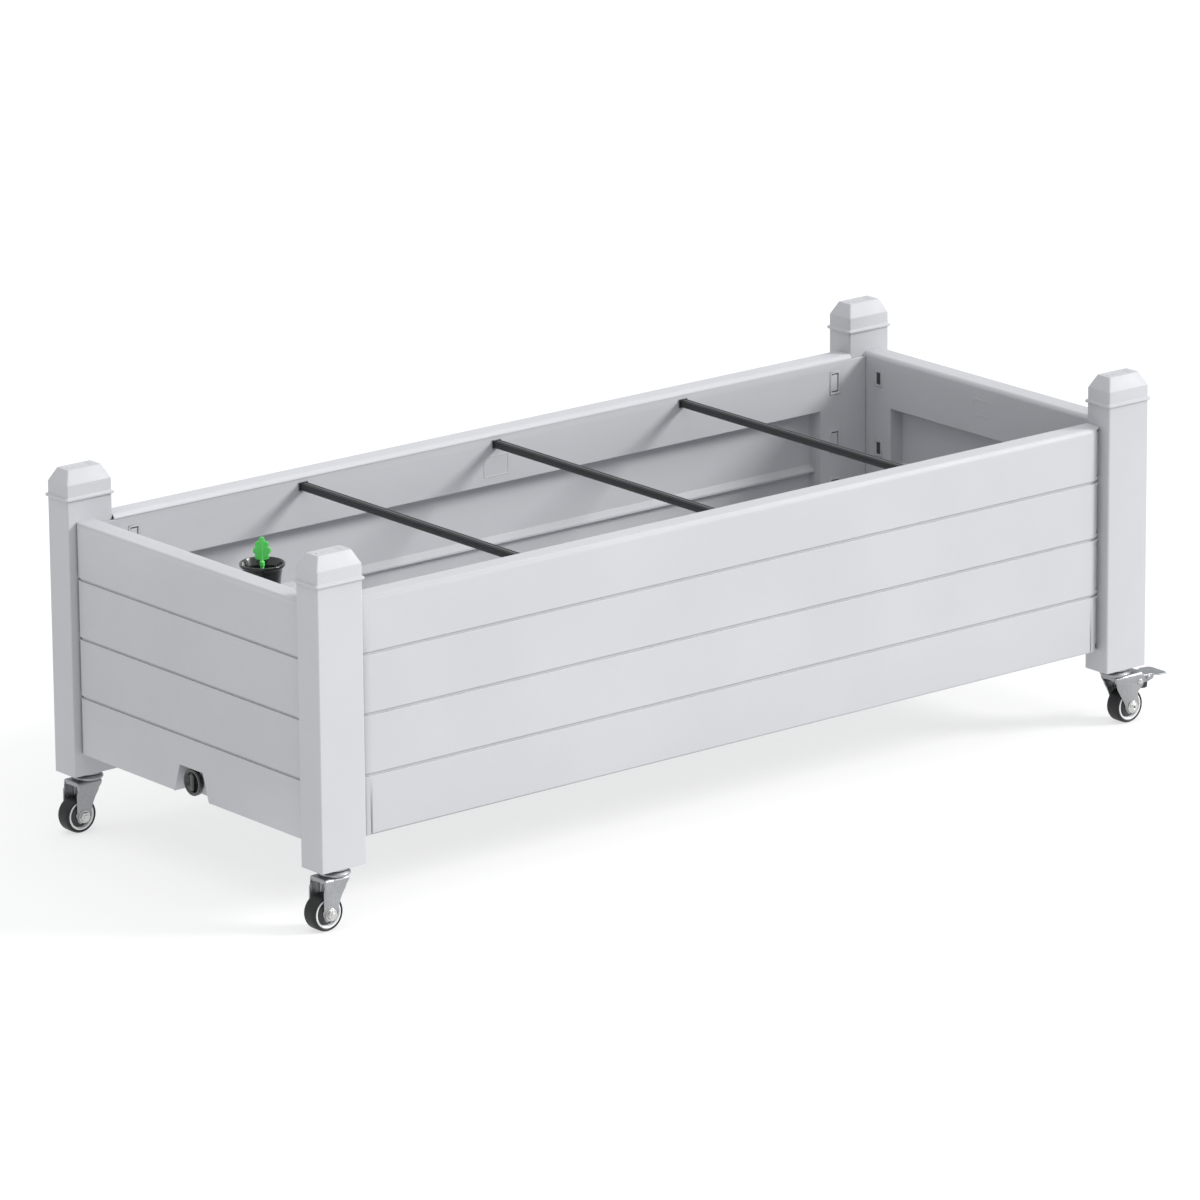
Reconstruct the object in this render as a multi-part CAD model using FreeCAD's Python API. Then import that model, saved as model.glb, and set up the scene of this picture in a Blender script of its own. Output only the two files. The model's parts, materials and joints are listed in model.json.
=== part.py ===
import FreeCAD, Part
import math
import os

# Raised planter on legs: four hollow panels between four corner posts, a self-watering
# reservoir with a soil platform inside, three tie bars across the top and four casters.
# Origin: on the ground, under the middle of the box. +X along the length, +Y to the back,
# +Z up. All sizes are in millimetres.

V = FreeCAD.Vector
UP = V(0, 0, 1)

# Overall frame
LENGTH = 1467.0          # over the posts
WIDTH = 600.0            # over the posts
POST_X = 74.4
POST_Y = 45.7
POST_WALL = 3.2
POST_FOOT_Z = 85.0
POST_TOP_Z = 474.0

# Panels
PANEL_T = 36.8
RIM_ROUND = 7.0
FOOT_ROUND = 3.0
PANEL_FOOT_Z = 117.0
RIM_Z = 444.0
GROOVE_Z = (200.0, 283.0, 366.0)
GROOVE_H = 4.0
GROOVE_DEPTH = 2.6
WEB_HALF = 6.0           # half height of the solid web behind each groove
SKIN = 3.2
LONG_INSET = 13.2        # outer face of a long panel behind the post's face
END_INSET = 10.5
RECESS_DEPTH = 24.0
RECESS_LOW_Z = 150.0
RECESS_TOP_Z = 369.0
RECESS_SLOPE = 9.0       # fall of the recess's top wall over its depth
RIB_LOW_Z = 273.0
RIB_H = 12.0
RIB_OUT = 9.0
LEDGE_OUT = 16.0
LEDGE_H = 4.0
FLANGE_T = 3.8           # inner lip that covers the post's inner side
JOINT_GAP = 0.3
LONG_RECESS_HALF = 600.0
END_RECESS_HALF = 195.4
LONG_ROUNDING = (22.0, 8.0)      # length and depth of the bend in the outer face next to a post
END_ROUNDING = (11.0, 5.0)

# Windows near the panels' ends: middle along the panel, middle in height, width, height
LONG_WINDOWS = [(627, 407, 13, 28), (627, 320, 13, 28), (627, 248, 13, 28)]
END_WINDOWS = [(221.5, 409, 9, 18), (221.5, 304.5, 9, 18), (221.5, 200, 9, 18)]
WINDOW_FRAME = 3.0
FRAME_OUT = 1.0

# Snap tabs that hold the panels to the posts
TONGUE_LEN = 48.0
TONGUE_FROM = 10.2       # from the panel's outer face
TONGUE_T = 22.0
TONGUE_LOW_Z = 125.0
TONGUE_TOP_Z = 436.0
TONGUE_WALL = 3.0

# Caps
CAP_LIP_OUT = 3.0
CAP_LIP_H = 4.0
CAP_BAND_TOP_Z = 496.0
CAP_TOP_Z = 514.6
CAP_TOP_X = 55.0
CAP_TOP_Y = 25.5
CAP_WALL = 2.6
MARK_X = 30.0            # shallow mark in the cap's top
MARK_Y = 13.0
SPIGOT_LEN = 24.0
FIT = 0.2                # clearance of plugs and spigots inside the posts
INSERT_H = 30.0
INSERT_POCKET_X = 21.0

# Tie bars
BAR_X = (-340.0, 0.0, 340.0)
BAR_W = 12.0
BAR_H = 10.0
BAR_TOP_Z = 432.0
BAR_WALL = 1.5
BAR_BAND = 1.2           # height of the raised middle band
BRACKET_W = 15.0
BRACKET_T = 2.0
BRACKET_H = 12.0
SCREW_R = 1.5
SCREW_HEAD_R = 2.3
SCREW_Z = BAR_TOP_Z - BAR_H + 2.3

# Reservoir and platform
TRAY_GAP = 2.5           # between the tray and the panels
TRAY_WALL = 3.0
TRAY_TOP_Z = 192.0
PLATE_LOW_Z = 193.0
PLATE_T = 4.0
LEG_R = 16.0
LEG_WALL = 3.0
LEG_X = (-520.0, -180.0, -28.0, 28.0, 180.0, 520.0)
LEG_Y = (-150.0, 150.0)
PEG_R = 6.0
PLATE_SEAM = 0.6         # between the left plate and the right one
SLOTS_EACH_WAY = 10      # drain slots of each plate, counted along the box
SLOT_PITCH = 60.0
SLOT_Y = (-205.0, -95.0, 95.0, 205.0)
SLOT_LEN = 26.0
SLOT_W = 3.5
BASKET_X = (-300.0, 300.0)
BASKET_HALF = 55.0
BASKET_WALL = 2.5
BASKET_LOW_Z = 128.0

# Fill tube, float and drain
TUBE_X = -598.0
TUBE_RIM_Z = 420.0
TUBE_RIM_R = 31.0
TUBE_R = 22.0
TUBE_WALL = 2.5
FLOAT_R = 14.0
FLOAT_H = 26.0
FLOAT_TRAVEL = 36.0
ROD_R = 2.5
DRAIN_Z = 137.5
DRAIN_HEAD_R = 18.7
DRAIN_HEAD_T = 8.0
DRAIN_SHANK_R = 10.0
DRAIN_SPIGOT_R = 14.0
NOTCH_TOP_Z = 157.0
NOTCH_TOP_HALF = 26.0
NOTCH_LOW_HALF = 39.0
SUMP_OUT_X = -704.0      # the tray's drain pocket stands in the notch
SUMP_HALF = 25.0
SUMP_TOP_Z = 153.0

# Casters
WHEEL_R = 25.0
TYRE_W = 24.0
HUB_R = 20.5
TRAIL = 19.0
AXLE_R = 4.0
RUN = 0.08               # radial clearance of the running fits
FORK_HALF = 17.5
FORK_T = 2.5
CROWN_Z = 70.5
SKIRT_X = (-17.0, 21.5)  # where the crown turns down between the cheeks
SKIRT_LOW_Z = 63.5
RACE_R = 22.0
RACE_LOW_Z = 74.0
RACE_TOP_Z = 80.6
STEM_R = 5.0
STEM_TOP_Z = 112.0
STEM_FLANGE_R = 20.0
STEM_FLANGE_Z = 81.0
BOSS_R = 9.0             # the fork's cheek round the axle

# Brake of the right-hand casters, from the kingpin outwards
PIVOT_X = 33.0
PIVOT_Z = 60.0
PIVOT_R = 2.5
LEVER_HALF = 14.6
LEVER_T = 2.0
LIP_HALF = 20.5
LIP_END_X = 84.0

HALF_L = LENGTH / 2
HALF_W = WIDTH / 2
POST_CX = HALF_L - POST_X / 2
POST_CY = HALF_W - POST_Y / 2
LONG_D = HALF_W - LONG_INSET     # centre to the outer face of a long panel
END_D = HALF_L - END_INSET
LONG_HALF = HALF_L - POST_X      # half length of a long panel between the posts
END_HALF = HALF_W - POST_Y
INNER_X = END_D - PANEL_T
INNER_Y = LONG_D - PANEL_T
TRAY_X = INNER_X - TRAY_GAP
TRAY_Y = INNER_Y - TRAY_GAP
TRAY_FLOOR_Z = PANEL_FOOT_Z + LEDGE_H

CORNERS = {
    "front_left": (-1, -1),
    "front_right": (1, -1),
    "back_left": (-1, 1),
    "back_right": (1, 1),
}


def block(x0, x1, y0, y1, z0, z1):
    return Part.makeBox(x1 - x0, y1 - y0, z1 - z0, V(x0, y0, z0))


def centred_block(cx, cy, size_x, size_y, z0, z1):
    return block(cx - size_x / 2, cx + size_x / 2, cy - size_y / 2, cy + size_y / 2, z0, z1)


def upright_plate(x, y, z, width, height, behind, in_front):
    """A block round a point of an inner wall that faces +Y."""
    return block(x - width / 2, x + width / 2, y - behind, y + in_front, z - height / 2, z + height / 2)


def rod(r, start, direction, length):
    return Part.makeCylinder(r, length, V(*start), V(*direction))


def prism(points, direction):
    """A straight extrusion of a closed outline of 3-D points."""
    wire = Part.makePolygon([V(*p) for p in points] + [V(*points[0])])
    return Part.Face(wire).extrude(V(*direction))


def lathe(outline, x=0.0, y=0.0, axis="Z", z=0.0):
    """Revolve an outline of (radius, height) points about an upright or a crosswise axis."""
    wire = Part.makePolygon([V(r, 0, h) for r, h in outline] + [V(outline[0][0], 0, outline[0][1])])
    solid = Part.Face(wire).revolve(V(0, 0, 0), UP, 360)
    if axis == "Y":
        solid.rotate(V(0, 0, 0), V(1, 0, 0), -90)
    solid.translate(V(x, y, z))
    return solid


def tube(r_out, r_in, x, y, z0, z1):
    return rod(r_out, (x, y, z0), (0, 0, 1), z1 - z0).cut(rod(r_in, (x, y, z0), (0, 0, 1), z1 - z0))


def union(shapes):
    solid = shapes[0].multiFuse(shapes[1:]) if len(shapes) > 1 else shapes[0]
    return solid.removeSplitter()


def upright_edges(shape, x_lo, x_hi, y_lo, y_hi):
    """The vertical edges whose middle lies in a rectangle seen from above."""
    found = []
    for edge in shape.Edges:
        box = edge.BoundBox
        straight_up = box.ZLength > 1 and box.XLength < 0.01 and box.YLength < 0.01
        if straight_up and x_lo < box.Center.x < x_hi and y_lo < box.Center.y < y_hi:
            found.append(edge)
    return found


def edges_along(shape, letter, test):
    """Straight edges along one axis whose centre passes a test."""
    found = []
    for edge in shape.Edges:
        size = {"x": edge.BoundBox.XLength, "y": edge.BoundBox.YLength, "z": edge.BoundBox.ZLength}
        across = [size[k] for k in size if k != letter]
        if size[letter] > 5 and max(across) < 0.01 and test(edge.BoundBox.Center):
            found.append(edge)
    return found


def write(name, shape):
    shape.exportStep("parts/" + name + ".step")


# ---------------------------------------------------------------- panels

def rounded_end_face(half, outer_d, length, depth, inset):
    """Plan outline between a line outside the panel and its outer face, moved in by inset.

    The face bends back near each post along an arc that starts length before the post and
    is depth deep at the post.
    """
    radius = (length ** 2 + depth ** 2) / (2 * depth)
    r = radius - inset
    start_x = half - length
    centre_y = -outer_d + radius
    end_angle = math.asin(length / r)
    mid = V(start_x + r * math.sin(end_angle / 2), centre_y - r * math.cos(end_angle / 2), 0)
    end = V(half, centre_y - r * math.cos(end_angle), 0)
    start = V(start_x, -outer_d + inset, 0)
    outside_y = -outer_d - 5
    mirror = [V(-p.x, p.y, 0) for p in (start, mid, end)]
    far = V(half, outside_y, 0)
    far_mirror = V(-half, outside_y, 0)
    wire = Part.Wire([
        Part.makeLine(far_mirror, far),
        Part.makeLine(far, end),
        Part.Arc(end, mid, start).toShape(),
        Part.makeLine(start, mirror[0]),
        Part.Arc(mirror[0], mirror[1], mirror[2]).toShape(),
        Part.makeLine(mirror[2], far_mirror),
    ])
    return Part.Face(wire)


def slice_up(face, z0, z1):
    solid = face.extrude(V(0, 0, z1 - z0))
    solid.translate(V(0, 0, z0))
    return solid


def panel(half, outer_d, recess_half, round_len, round_depth, windows, flange):
    """A double-walled panel that faces -Y, before it is turned into its place."""
    face_y = -outer_d
    inner_y = face_y + PANEL_T
    body = block(-half, half, face_y, inner_y, PANEL_FOOT_Z, RIM_Z)
    top = edges_along(body, "x", lambda c: c.z > RIM_Z - 1)
    body = body.makeFillet(RIM_ROUND, top)
    foot = edges_along(body, "x", lambda c: c.z < PANEL_FOOT_Z + 1 and c.y < face_y + 1)
    body = body.makeFillet(FOOT_ROUND, foot)
    body = body.cut(slice_up(
        rounded_end_face(half, outer_d, round_len, round_depth, 0.0), PANEL_FOOT_Z - 1, RIM_Z + 1))
    groove_face = rounded_end_face(half, outer_d, round_len, round_depth, GROOVE_DEPTH)
    for z in GROOVE_Z:
        body = body.cut(slice_up(groove_face, z - GROOVE_H / 2, z + GROOVE_H / 2))

    # Recess in the inner wall, with a sloped top wall and one long rib
    back_y = inner_y - RECESS_DEPTH
    recess = prism([
        (-recess_half, inner_y + 1, RECESS_LOW_Z),
        (-recess_half, inner_y + 1, RECESS_TOP_Z),
        (-recess_half, back_y, RECESS_TOP_Z - RECESS_SLOPE),
        (-recess_half, back_y, RECESS_LOW_Z),
    ], (2 * recess_half, 0, 0))
    rib = prism([
        (-recess_half, back_y, RIB_LOW_Z),
        (-recess_half, back_y + RIB_OUT, RIB_LOW_Z + 2),
        (-recess_half, back_y + RIB_OUT, RIB_LOW_Z + 5),
        (-recess_half, back_y, RIB_LOW_Z + RIB_H),
    ], (2 * recess_half, 0, 0))
    body = body.cut(recess.cut(rib))

    # Hollows: thin ones behind the planks, full ones in the rim band and at the ends
    thin_y = back_y - SKIN
    deep_y = inner_y - SKIN
    levels = [PANEL_FOOT_Z - WEB_HALF + SKIN] + list(GROOVE_Z) + [RIM_Z + WEB_HALF - SKIN]
    hollows = [
        block(-half - 1, half + 1, face_y + SKIN, thin_y, low + WEB_HALF, high - WEB_HALF)
        for low, high in zip(levels[:-1], levels[1:])
    ]
    rim_low = RECESS_TOP_Z + SKIN
    hollows.append(block(-half - 1, half + 1, face_y + SKIN, deep_y, rim_low, RIM_Z - SKIN))
    end_from = recess_half + SKIN
    for side in (-1, 1):
        x0, x1 = sorted((side * end_from, side * (half + 1)))
        hollows.append(block(x0, x1, thin_y - 1, deep_y, PANEL_FOOT_Z + SKIN, RIM_Z - SKIN))
    body = body.cut(union(hollows))

    # Windows that the posts' snap tabs look out of, each in a raised frame
    for x_mid, z_mid, w, h in windows:
        for side in (-1, 1):
            x = side * x_mid
            frame = upright_plate(x, inner_y, z_mid, w + 2 * WINDOW_FRAME, h + 2 * WINDOW_FRAME, 1, FRAME_OUT)
            hole = upright_plate(x, inner_y, z_mid, w, h, SKIN + 1, FRAME_OUT + 1)
            body = body.fuse(frame).cut(hole)

    # Ledge that carries the tray
    ledge_half = recess_half - 10
    ledge_y = inner_y + LEDGE_OUT
    ledge = block(-ledge_half, ledge_half, inner_y - 1, ledge_y, PANEL_FOOT_Z, PANEL_FOOT_Z + LEDGE_H)
    body = body.fuse(ledge)

    # Inner lip past the end, over the post's inner side
    if flange > 0:
        for side in (-1, 1):
            x0, x1 = sorted((side * (half - 4), side * (half + flange)))
            body = body.fuse(block(x0, x1, inner_y - FLANGE_T, inner_y, PANEL_FOOT_Z, RIM_Z - RIM_ROUND))
    return body.removeSplitter()


def turned(shape, degrees):
    copy = shape.copy()
    copy.rotate(V(0, 0, 0), UP, degrees)
    return copy


def long_panel():
    flange = INNER_X - JOINT_GAP - LONG_HALF
    body = panel(LONG_HALF, LONG_D, LONG_RECESS_HALF, *LONG_ROUNDING, LONG_WINDOWS, flange)
    for x in BAR_X:
        body = body.cut(rod(SCREW_R, (x, -INNER_Y - 10, SCREW_Z), (0, 1, 0), 12))
    return body


def end_panel():
    return panel(END_HALF, END_D, END_RECESS_HALF, *END_ROUNDING, END_WINDOWS, 0)


def notch():
    """The drain's opening through the foot of the left end panel, along X."""
    return prism([
        (-END_D - 2, -NOTCH_LOW_HALF, PANEL_FOOT_Z - 1),
        (-END_D - 2, NOTCH_LOW_HALF, PANEL_FOOT_Z - 1),
        (-END_D - 2, NOTCH_TOP_HALF, NOTCH_TOP_Z),
        (-END_D - 2, -NOTCH_TOP_HALF, NOTCH_TOP_Z),
    ], (PANEL_T + LEDGE_OUT + 4, 0, 0))


def notch_lining():
    """Walls that close the panel's hollow round the notch."""
    wall = 2.5
    return prism([
        (-END_D + 1, -NOTCH_LOW_HALF - wall, PANEL_FOOT_Z),
        (-END_D + 1, NOTCH_LOW_HALF + wall, PANEL_FOOT_Z),
        (-END_D + 1, NOTCH_TOP_HALF + wall, NOTCH_TOP_Z + wall),
        (-END_D + 1, -NOTCH_TOP_HALF - wall, NOTCH_TOP_Z + wall),
    ], (PANEL_T - RECESS_DEPTH - 2, 0, 0))


# ---------------------------------------------------------------- posts, caps and feet

def in_corner(shape, sx, sy):
    """Mirror a shape made for the back right corner into another corner."""
    out = shape
    if sx < 0:
        out = out.mirror(V(0, 0, 0), V(1, 0, 0))
    if sy < 0:
        out = out.mirror(V(0, 0, 0), V(0, 1, 0))
    return out


def box_tongue(x0, x1, y0, y1, along):
    """A rectangular tube between the post and the panel's hollow."""
    outer = block(x0, x1, y0, y1, TONGUE_LOW_Z, TONGUE_TOP_Z)
    w = TONGUE_WALL
    if along == "x":
        inner = block(x0 - 1, x1 + 1, y0 + w, y1 - w, TONGUE_LOW_Z + w, TONGUE_TOP_Z - w)
    else:
        inner = block(x0 + w, x1 - w, y0 - 1, y1 + 1, TONGUE_LOW_Z + w, TONGUE_TOP_Z - w)
    return outer.cut(inner)


def corner_post():
    x0, x1 = HALF_L - POST_X, HALF_L
    y0, y1 = HALF_W - POST_Y, HALF_W
    w = POST_WALL
    shell = block(x0, x1, y0, y1, POST_FOOT_Z, POST_TOP_Z)
    shell = shell.makeFillet(2.5, upright_edges(shell, x0 - 1, x1 + 1, y0 - 1, y1 + 1))
    shell = shell.cut(block(x0 + w, x1 - w, y0 + w, y1 - w, POST_FOOT_Z - 1, POST_TOP_Z + 1))
    long_y1 = LONG_D - TONGUE_FROM
    long_y0 = long_y1 - TONGUE_T
    end_x1 = END_D - TONGUE_FROM
    end_x0 = end_x1 - TONGUE_T
    parts = [
        shell,
        box_tongue(x0 - TONGUE_LEN, x0 + w, long_y0, long_y1, "x"),
        box_tongue(end_x0, end_x1, y0 - TONGUE_LEN, y0 + w, "y"),
    ]
    for x, z, width, height in LONG_WINDOWS:
        half_w, half_h = width / 2 - 1, height / 2 - 2
        parts.append(block(x - half_w, x + half_w, INNER_Y + 0.4, long_y0 + 1, z - half_h, z + half_h))
    for y, z, width, height in END_WINDOWS:
        half_w = width / 2 - 1
        parts.append(block(INNER_X + 0.4, end_x0 + 1, y - half_w, y + half_w, z - height / 2 + 1, z - 2))
    return union(parts)


def post_cap():
    """A pushed-in cap: spigot, lip, upright band and a sloped top with a shallow mark."""
    lip_top = POST_TOP_Z + CAP_LIP_H
    lip_x = POST_X + 2 * CAP_LIP_OUT
    lip_y = POST_Y + 2 * CAP_LIP_OUT
    lip = centred_block(POST_CX, POST_CY, lip_x, lip_y, POST_TOP_Z, lip_top)
    lip = lip.makeFillet(1.2, lip.Edges)
    band = centred_block(POST_CX, POST_CY, POST_X, POST_Y, lip_top - 1, CAP_BAND_TOP_Z)
    roof = frustum(POST_X, POST_Y, CAP_TOP_X, CAP_TOP_Y, CAP_BAND_TOP_Z, CAP_TOP_Z)
    spigot_low = POST_TOP_Z - SPIGOT_LEN
    spigot_x = POST_X - 2 * POST_WALL - 2 * FIT
    spigot_y = POST_Y - 2 * POST_WALL - 2 * FIT
    spigot = centred_block(POST_CX, POST_CY, spigot_x, spigot_y, spigot_low, POST_TOP_Z + 1)

    w = CAP_WALL
    hollow_x = POST_X - 2 * POST_WALL - 2 * w
    hollow_y = POST_Y - 2 * POST_WALL - 2 * w
    hollow_top = CAP_BAND_TOP_Z - 2
    hollow = centred_block(POST_CX, POST_CY, hollow_x, hollow_y, spigot_low - 1, hollow_top)
    roof_hollow = frustum(hollow_x, hollow_y, CAP_TOP_X - 3 * w, CAP_TOP_Y - 3 * w, hollow_top, CAP_TOP_Z - w)
    mark = centred_block(POST_CX, POST_CY, MARK_X, MARK_Y, CAP_TOP_Z - 0.5, CAP_TOP_Z + 1)
    mark = mark.makeFillet(3.0, upright_edges(mark, 0, HALF_L, 0, HALF_W))
    dimple = rod(1.6, (POST_CX, POST_CY, CAP_TOP_Z - 1.4), (0, 0, 1), 3)
    return union([spigot, lip, band, roof]).cut(hollow).cut(roof_hollow).cut(mark).cut(dimple)


def frustum(x_low, y_low, x_high, y_high, z_low, z_high):
    """A rectangular frustum over the post's centre."""
    def ring(sx, sy, z):
        signs = ((-1, -1), (1, -1), (1, 1), (-1, 1), (-1, -1))
        return Part.makePolygon([V(POST_CX + i * sx / 2, POST_CY + j * sy / 2, z) for i, j in signs])
    return Part.makeLoft([ring(x_low, y_low, z_low), ring(x_high, y_high, z_high)], True, True)


def foot_insert():
    """The plug that closes a post's foot and holds the caster's stem."""
    size_x = POST_X - 2 * POST_WALL - 2 * FIT
    size_y = POST_Y - 2 * POST_WALL - 2 * FIT
    top = POST_FOOT_Z + INSERT_H
    solid = centred_block(POST_CX, POST_CY, size_x, size_y, POST_FOOT_Z, top)
    solid = solid.cut(rod(STEM_R, (POST_CX, POST_CY, POST_FOOT_Z - 1), (0, 0, 1), INSERT_H + 2))
    for side in (-1, 1):
        pocket_x = POST_CX + side * INSERT_POCKET_X
        solid = solid.cut(centred_block(pocket_x, POST_CY, 20, size_y - 6, POST_FOOT_Z + 5, top + 1))
    return solid


# ---------------------------------------------------------------- tie bars

def tie_bar(x):
    """A hat-section bar with a raised middle band, between the long panels."""
    half = INNER_Y - BRACKET_T - 0.4
    low = BAR_TOP_Z - BAR_H
    shoulder = BAR_TOP_Z - BAR_BAND
    roof = BAR_TOP_Z - BAR_BAND - BAR_WALL
    wall = BAR_W / 2 - BAR_WALL
    right = [
        (BAR_W / 4, BAR_TOP_Z), (BAR_W / 4, shoulder), (BAR_W / 2, shoulder), (BAR_W / 2, low),
        (wall, low), (wall, roof),
    ]
    section = right + [(-u, z) for u, z in reversed(right)]
    return prism([(x + u, -half, z) for u, z in section], (0, 2 * half, 0))


def tie_bar_bracket(x, side):
    """A plate screwed to the panel's inner wall, with a shoe that the hollow bar drops over."""
    wall_y = side * (INNER_Y - JOINT_GAP / 3)
    inner_y = wall_y - side * BRACKET_T
    plate_y = sorted((wall_y, inner_y))
    low = BAR_TOP_Z + 1 - BRACKET_H
    plate = block(x - BRACKET_W / 2, x + BRACKET_W / 2, plate_y[0], plate_y[1], low, BAR_TOP_Z + 1)
    shoe_y = sorted((inner_y, inner_y - side * 22))
    shoe_half = BAR_W / 2 - BAR_WALL - 0.2
    shoe = block(x - shoe_half, x + shoe_half, shoe_y[0], shoe_y[1], BAR_TOP_Z - 5.2, BAR_TOP_Z - 3.2)
    hole = rod(SCREW_R, (x, plate_y[0] - 1, SCREW_Z), (0, 1, 0), BRACKET_T + 2)
    return plate.fuse(shoe).cut(hole)


def tie_bar_screw(x, side):
    """A pan-head screw whose head sits in the hollow of the bar, under the shoe."""
    face_y = side * (INNER_Y - JOINT_GAP / 3 - BRACKET_T)
    shank = rod(SCREW_R, (x, face_y, SCREW_Z), (0, side, 0), 9)
    r = SCREW_HEAD_R
    head = lathe([(0, 0), (r, 0), (0.95 * r, 0.8), (0.6 * r, 1.5), (0, 1.7)])
    head.rotate(V(0, 0, 0), V(1, 0, 0), 90 * side)
    head.translate(V(x, face_y, SCREW_Z))
    return shank.fuse(head)


# ---------------------------------------------------------------- reservoir, platform and filling

def reservoir_tray():
    t = TRAY_WALL
    outer = block(-TRAY_X, TRAY_X, -TRAY_Y, TRAY_Y, TRAY_FLOOR_Z, TRAY_TOP_Z)
    outer = outer.makeFillet(12.0, upright_edges(outer, -TRAY_X - 1, TRAY_X + 1, -TRAY_Y - 1, TRAY_Y + 1))
    inner = block(-TRAY_X + t, TRAY_X - t, -TRAY_Y + t, TRAY_Y - t, TRAY_FLOOR_Z + t, TRAY_TOP_Z + 1)
    inner = inner.makeFillet(9.0, upright_edges(inner, -TRAY_X, TRAY_X, -TRAY_Y, TRAY_Y))
    sump = block(SUMP_OUT_X, -TRAY_X + t, -SUMP_HALF, SUMP_HALF, PANEL_FOOT_Z, SUMP_TOP_Z)
    sump = sump.makeFillet(4.0, upright_edges(sump, SUMP_OUT_X - 1, SUMP_OUT_X + 1, -WIDTH, WIDTH))
    sump_inner = block(SUMP_OUT_X + t, -TRAY_X + t + 1, -SUMP_HALF + t, SUMP_HALF - t,
                       PANEL_FOOT_Z + t, SUMP_TOP_Z - t)
    tray = outer.fuse(sump).cut(inner).cut(sump_inner)
    spigot_start = -END_D + DRAIN_HEAD_T + 2.6
    spigot = rod(DRAIN_SPIGOT_R, (spigot_start, 0, DRAIN_Z), (1, 0, 0), SUMP_OUT_X + 1 - spigot_start)
    bore = rod(DRAIN_SHANK_R + 0.4, (spigot_start - 1, 0, DRAIN_Z), (1, 0, 0), 20)
    return tray.fuse(spigot).cut(bore).removeSplitter()


def platform_leg(x, y):
    """A tubular leg with a short peg that plugs into the platform's plate."""
    leg = tube(LEG_R, LEG_R - LEG_WALL, x, y, TRAY_FLOOR_Z + TRAY_WALL, PLATE_LOW_Z - 2)
    cover = rod(LEG_R, (x, y, PLATE_LOW_Z - 2), (0, 0, 1), 2)
    peg = rod(PEG_R, (x, y, PLATE_LOW_Z - 1), (0, 0, 1), PLATE_T)
    return union([leg, cover, peg])


def soil_platform():
    """Two slotted plates that meet in the middle of the box."""
    gap = 1.0
    low, top = PLATE_LOW_Z, PLATE_LOW_Z + PLATE_T
    plate = block(-TRAY_X + gap, TRAY_X - gap, -TRAY_Y + gap, TRAY_Y - gap, low, top)
    plate = plate.makeFillet(12.0, upright_edges(plate, -TRAY_X, TRAY_X, -TRAY_Y, TRAY_Y))
    cuts = [centred_block(0, 0, PLATE_SEAM, WIDTH, low - 1, top + 1)]
    cuts.append(rod(TUBE_R + 0.6, (TUBE_X, 0, low - 1), (0, 0, 1), PLATE_T + 2))
    cuts += [rod(PEG_R + 0.1, (x, y, low - 1), (0, 0, 1), PLATE_T) for x in LEG_X for y in LEG_Y]
    for x in BASKET_X:
        cuts.append(centred_block(x, 0, 2 * BASKET_HALF + 0.8, 2 * BASKET_HALF + 0.8, low - 1, top + 1))
    for i in range(-SLOTS_EACH_WAY, SLOTS_EACH_WAY):
        x = (i + 0.5) * SLOT_PITCH
        beside_basket = any(abs(x - basket_x) <= BASKET_HALF + 12 for basket_x in BASKET_X)
        for y in SLOT_Y:
            if not beside_basket or abs(y) > BASKET_HALF + 12:
                cuts.append(centred_block(x, y, SLOT_LEN, SLOT_W, low - 1, top + 1))
    return plate.cut(Part.makeCompound(cuts))


def wick_basket(x):
    """A square basket that hangs in the platform and dips into the water."""
    w = BASKET_WALL
    half = BASKET_HALF
    rim_low = PLATE_LOW_Z + PLATE_T
    outer = centred_block(x, 0, 2 * half, 2 * half, BASKET_LOW_Z, rim_low)
    inner = centred_block(x, 0, 2 * half - 2 * w, 2 * half - 2 * w, BASKET_LOW_Z + w, rim_low + 3)
    rim = centred_block(x, 0, 2 * half + 14, 2 * half + 14, rim_low, rim_low + 2)
    solid = outer.fuse(rim).cut(inner)
    slots = []
    slot_low, slot_top = BASKET_LOW_Z + 8, BASKET_LOW_Z + 40
    for i in (-30, -15, 0, 15, 30):
        slots.append(centred_block(x + i, 0, 3, 2 * half + 2, slot_low, slot_top))
        slots.append(centred_block(x, i, 2 * half + 2, 3, slot_low, slot_top))
    return solid.cut(union(slots))


def fill_tube():
    """A funnel-topped tube with slots at its foot and a guide for the float's rod."""
    w = TUBE_WALL
    foot = TRAY_FLOOR_Z + TRAY_WALL
    rim = TUBE_RIM_R
    outline = [
        (TUBE_R, foot), (TUBE_R, 372), (27.5, 414), (rim, 416), (rim, TUBE_RIM_Z), (rim - 1.5, TUBE_RIM_Z),
        (27.2, 416.5), (27.5 - w, 414), (TUBE_R - w, 372), (TUBE_R - w, foot),
    ]
    shell = lathe(outline, TUBE_X, 0)
    top_slot = foot + 24
    slots = [centred_block(TUBE_X, 0, 2 * TUBE_R + 4, 8, foot - 1, top_slot),
             centred_block(TUBE_X, 0, 8, 2 * TUBE_R + 4, foot - 1, top_slot)]
    shell = shell.cut(union(slots))
    guide_z = foot + FLOAT_H + FLOAT_TRAVEL + 8
    arms = [centred_block(TUBE_X, 0, 2 * TUBE_R - 2 * w + 1, 3, guide_z, guide_z + 3),
            centred_block(TUBE_X, 0, 3, 2 * TUBE_R - 2 * w + 1, guide_z, guide_z + 3)]
    ring = rod(6, (TUBE_X, 0, guide_z), (0, 0, 1), 3)
    guide = union(arms + [ring]).cut(rod(ROD_R + 0.3, (TUBE_X, 0, guide_z - 1), (0, 0, 1), 6))
    return shell.fuse(guide)


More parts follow.
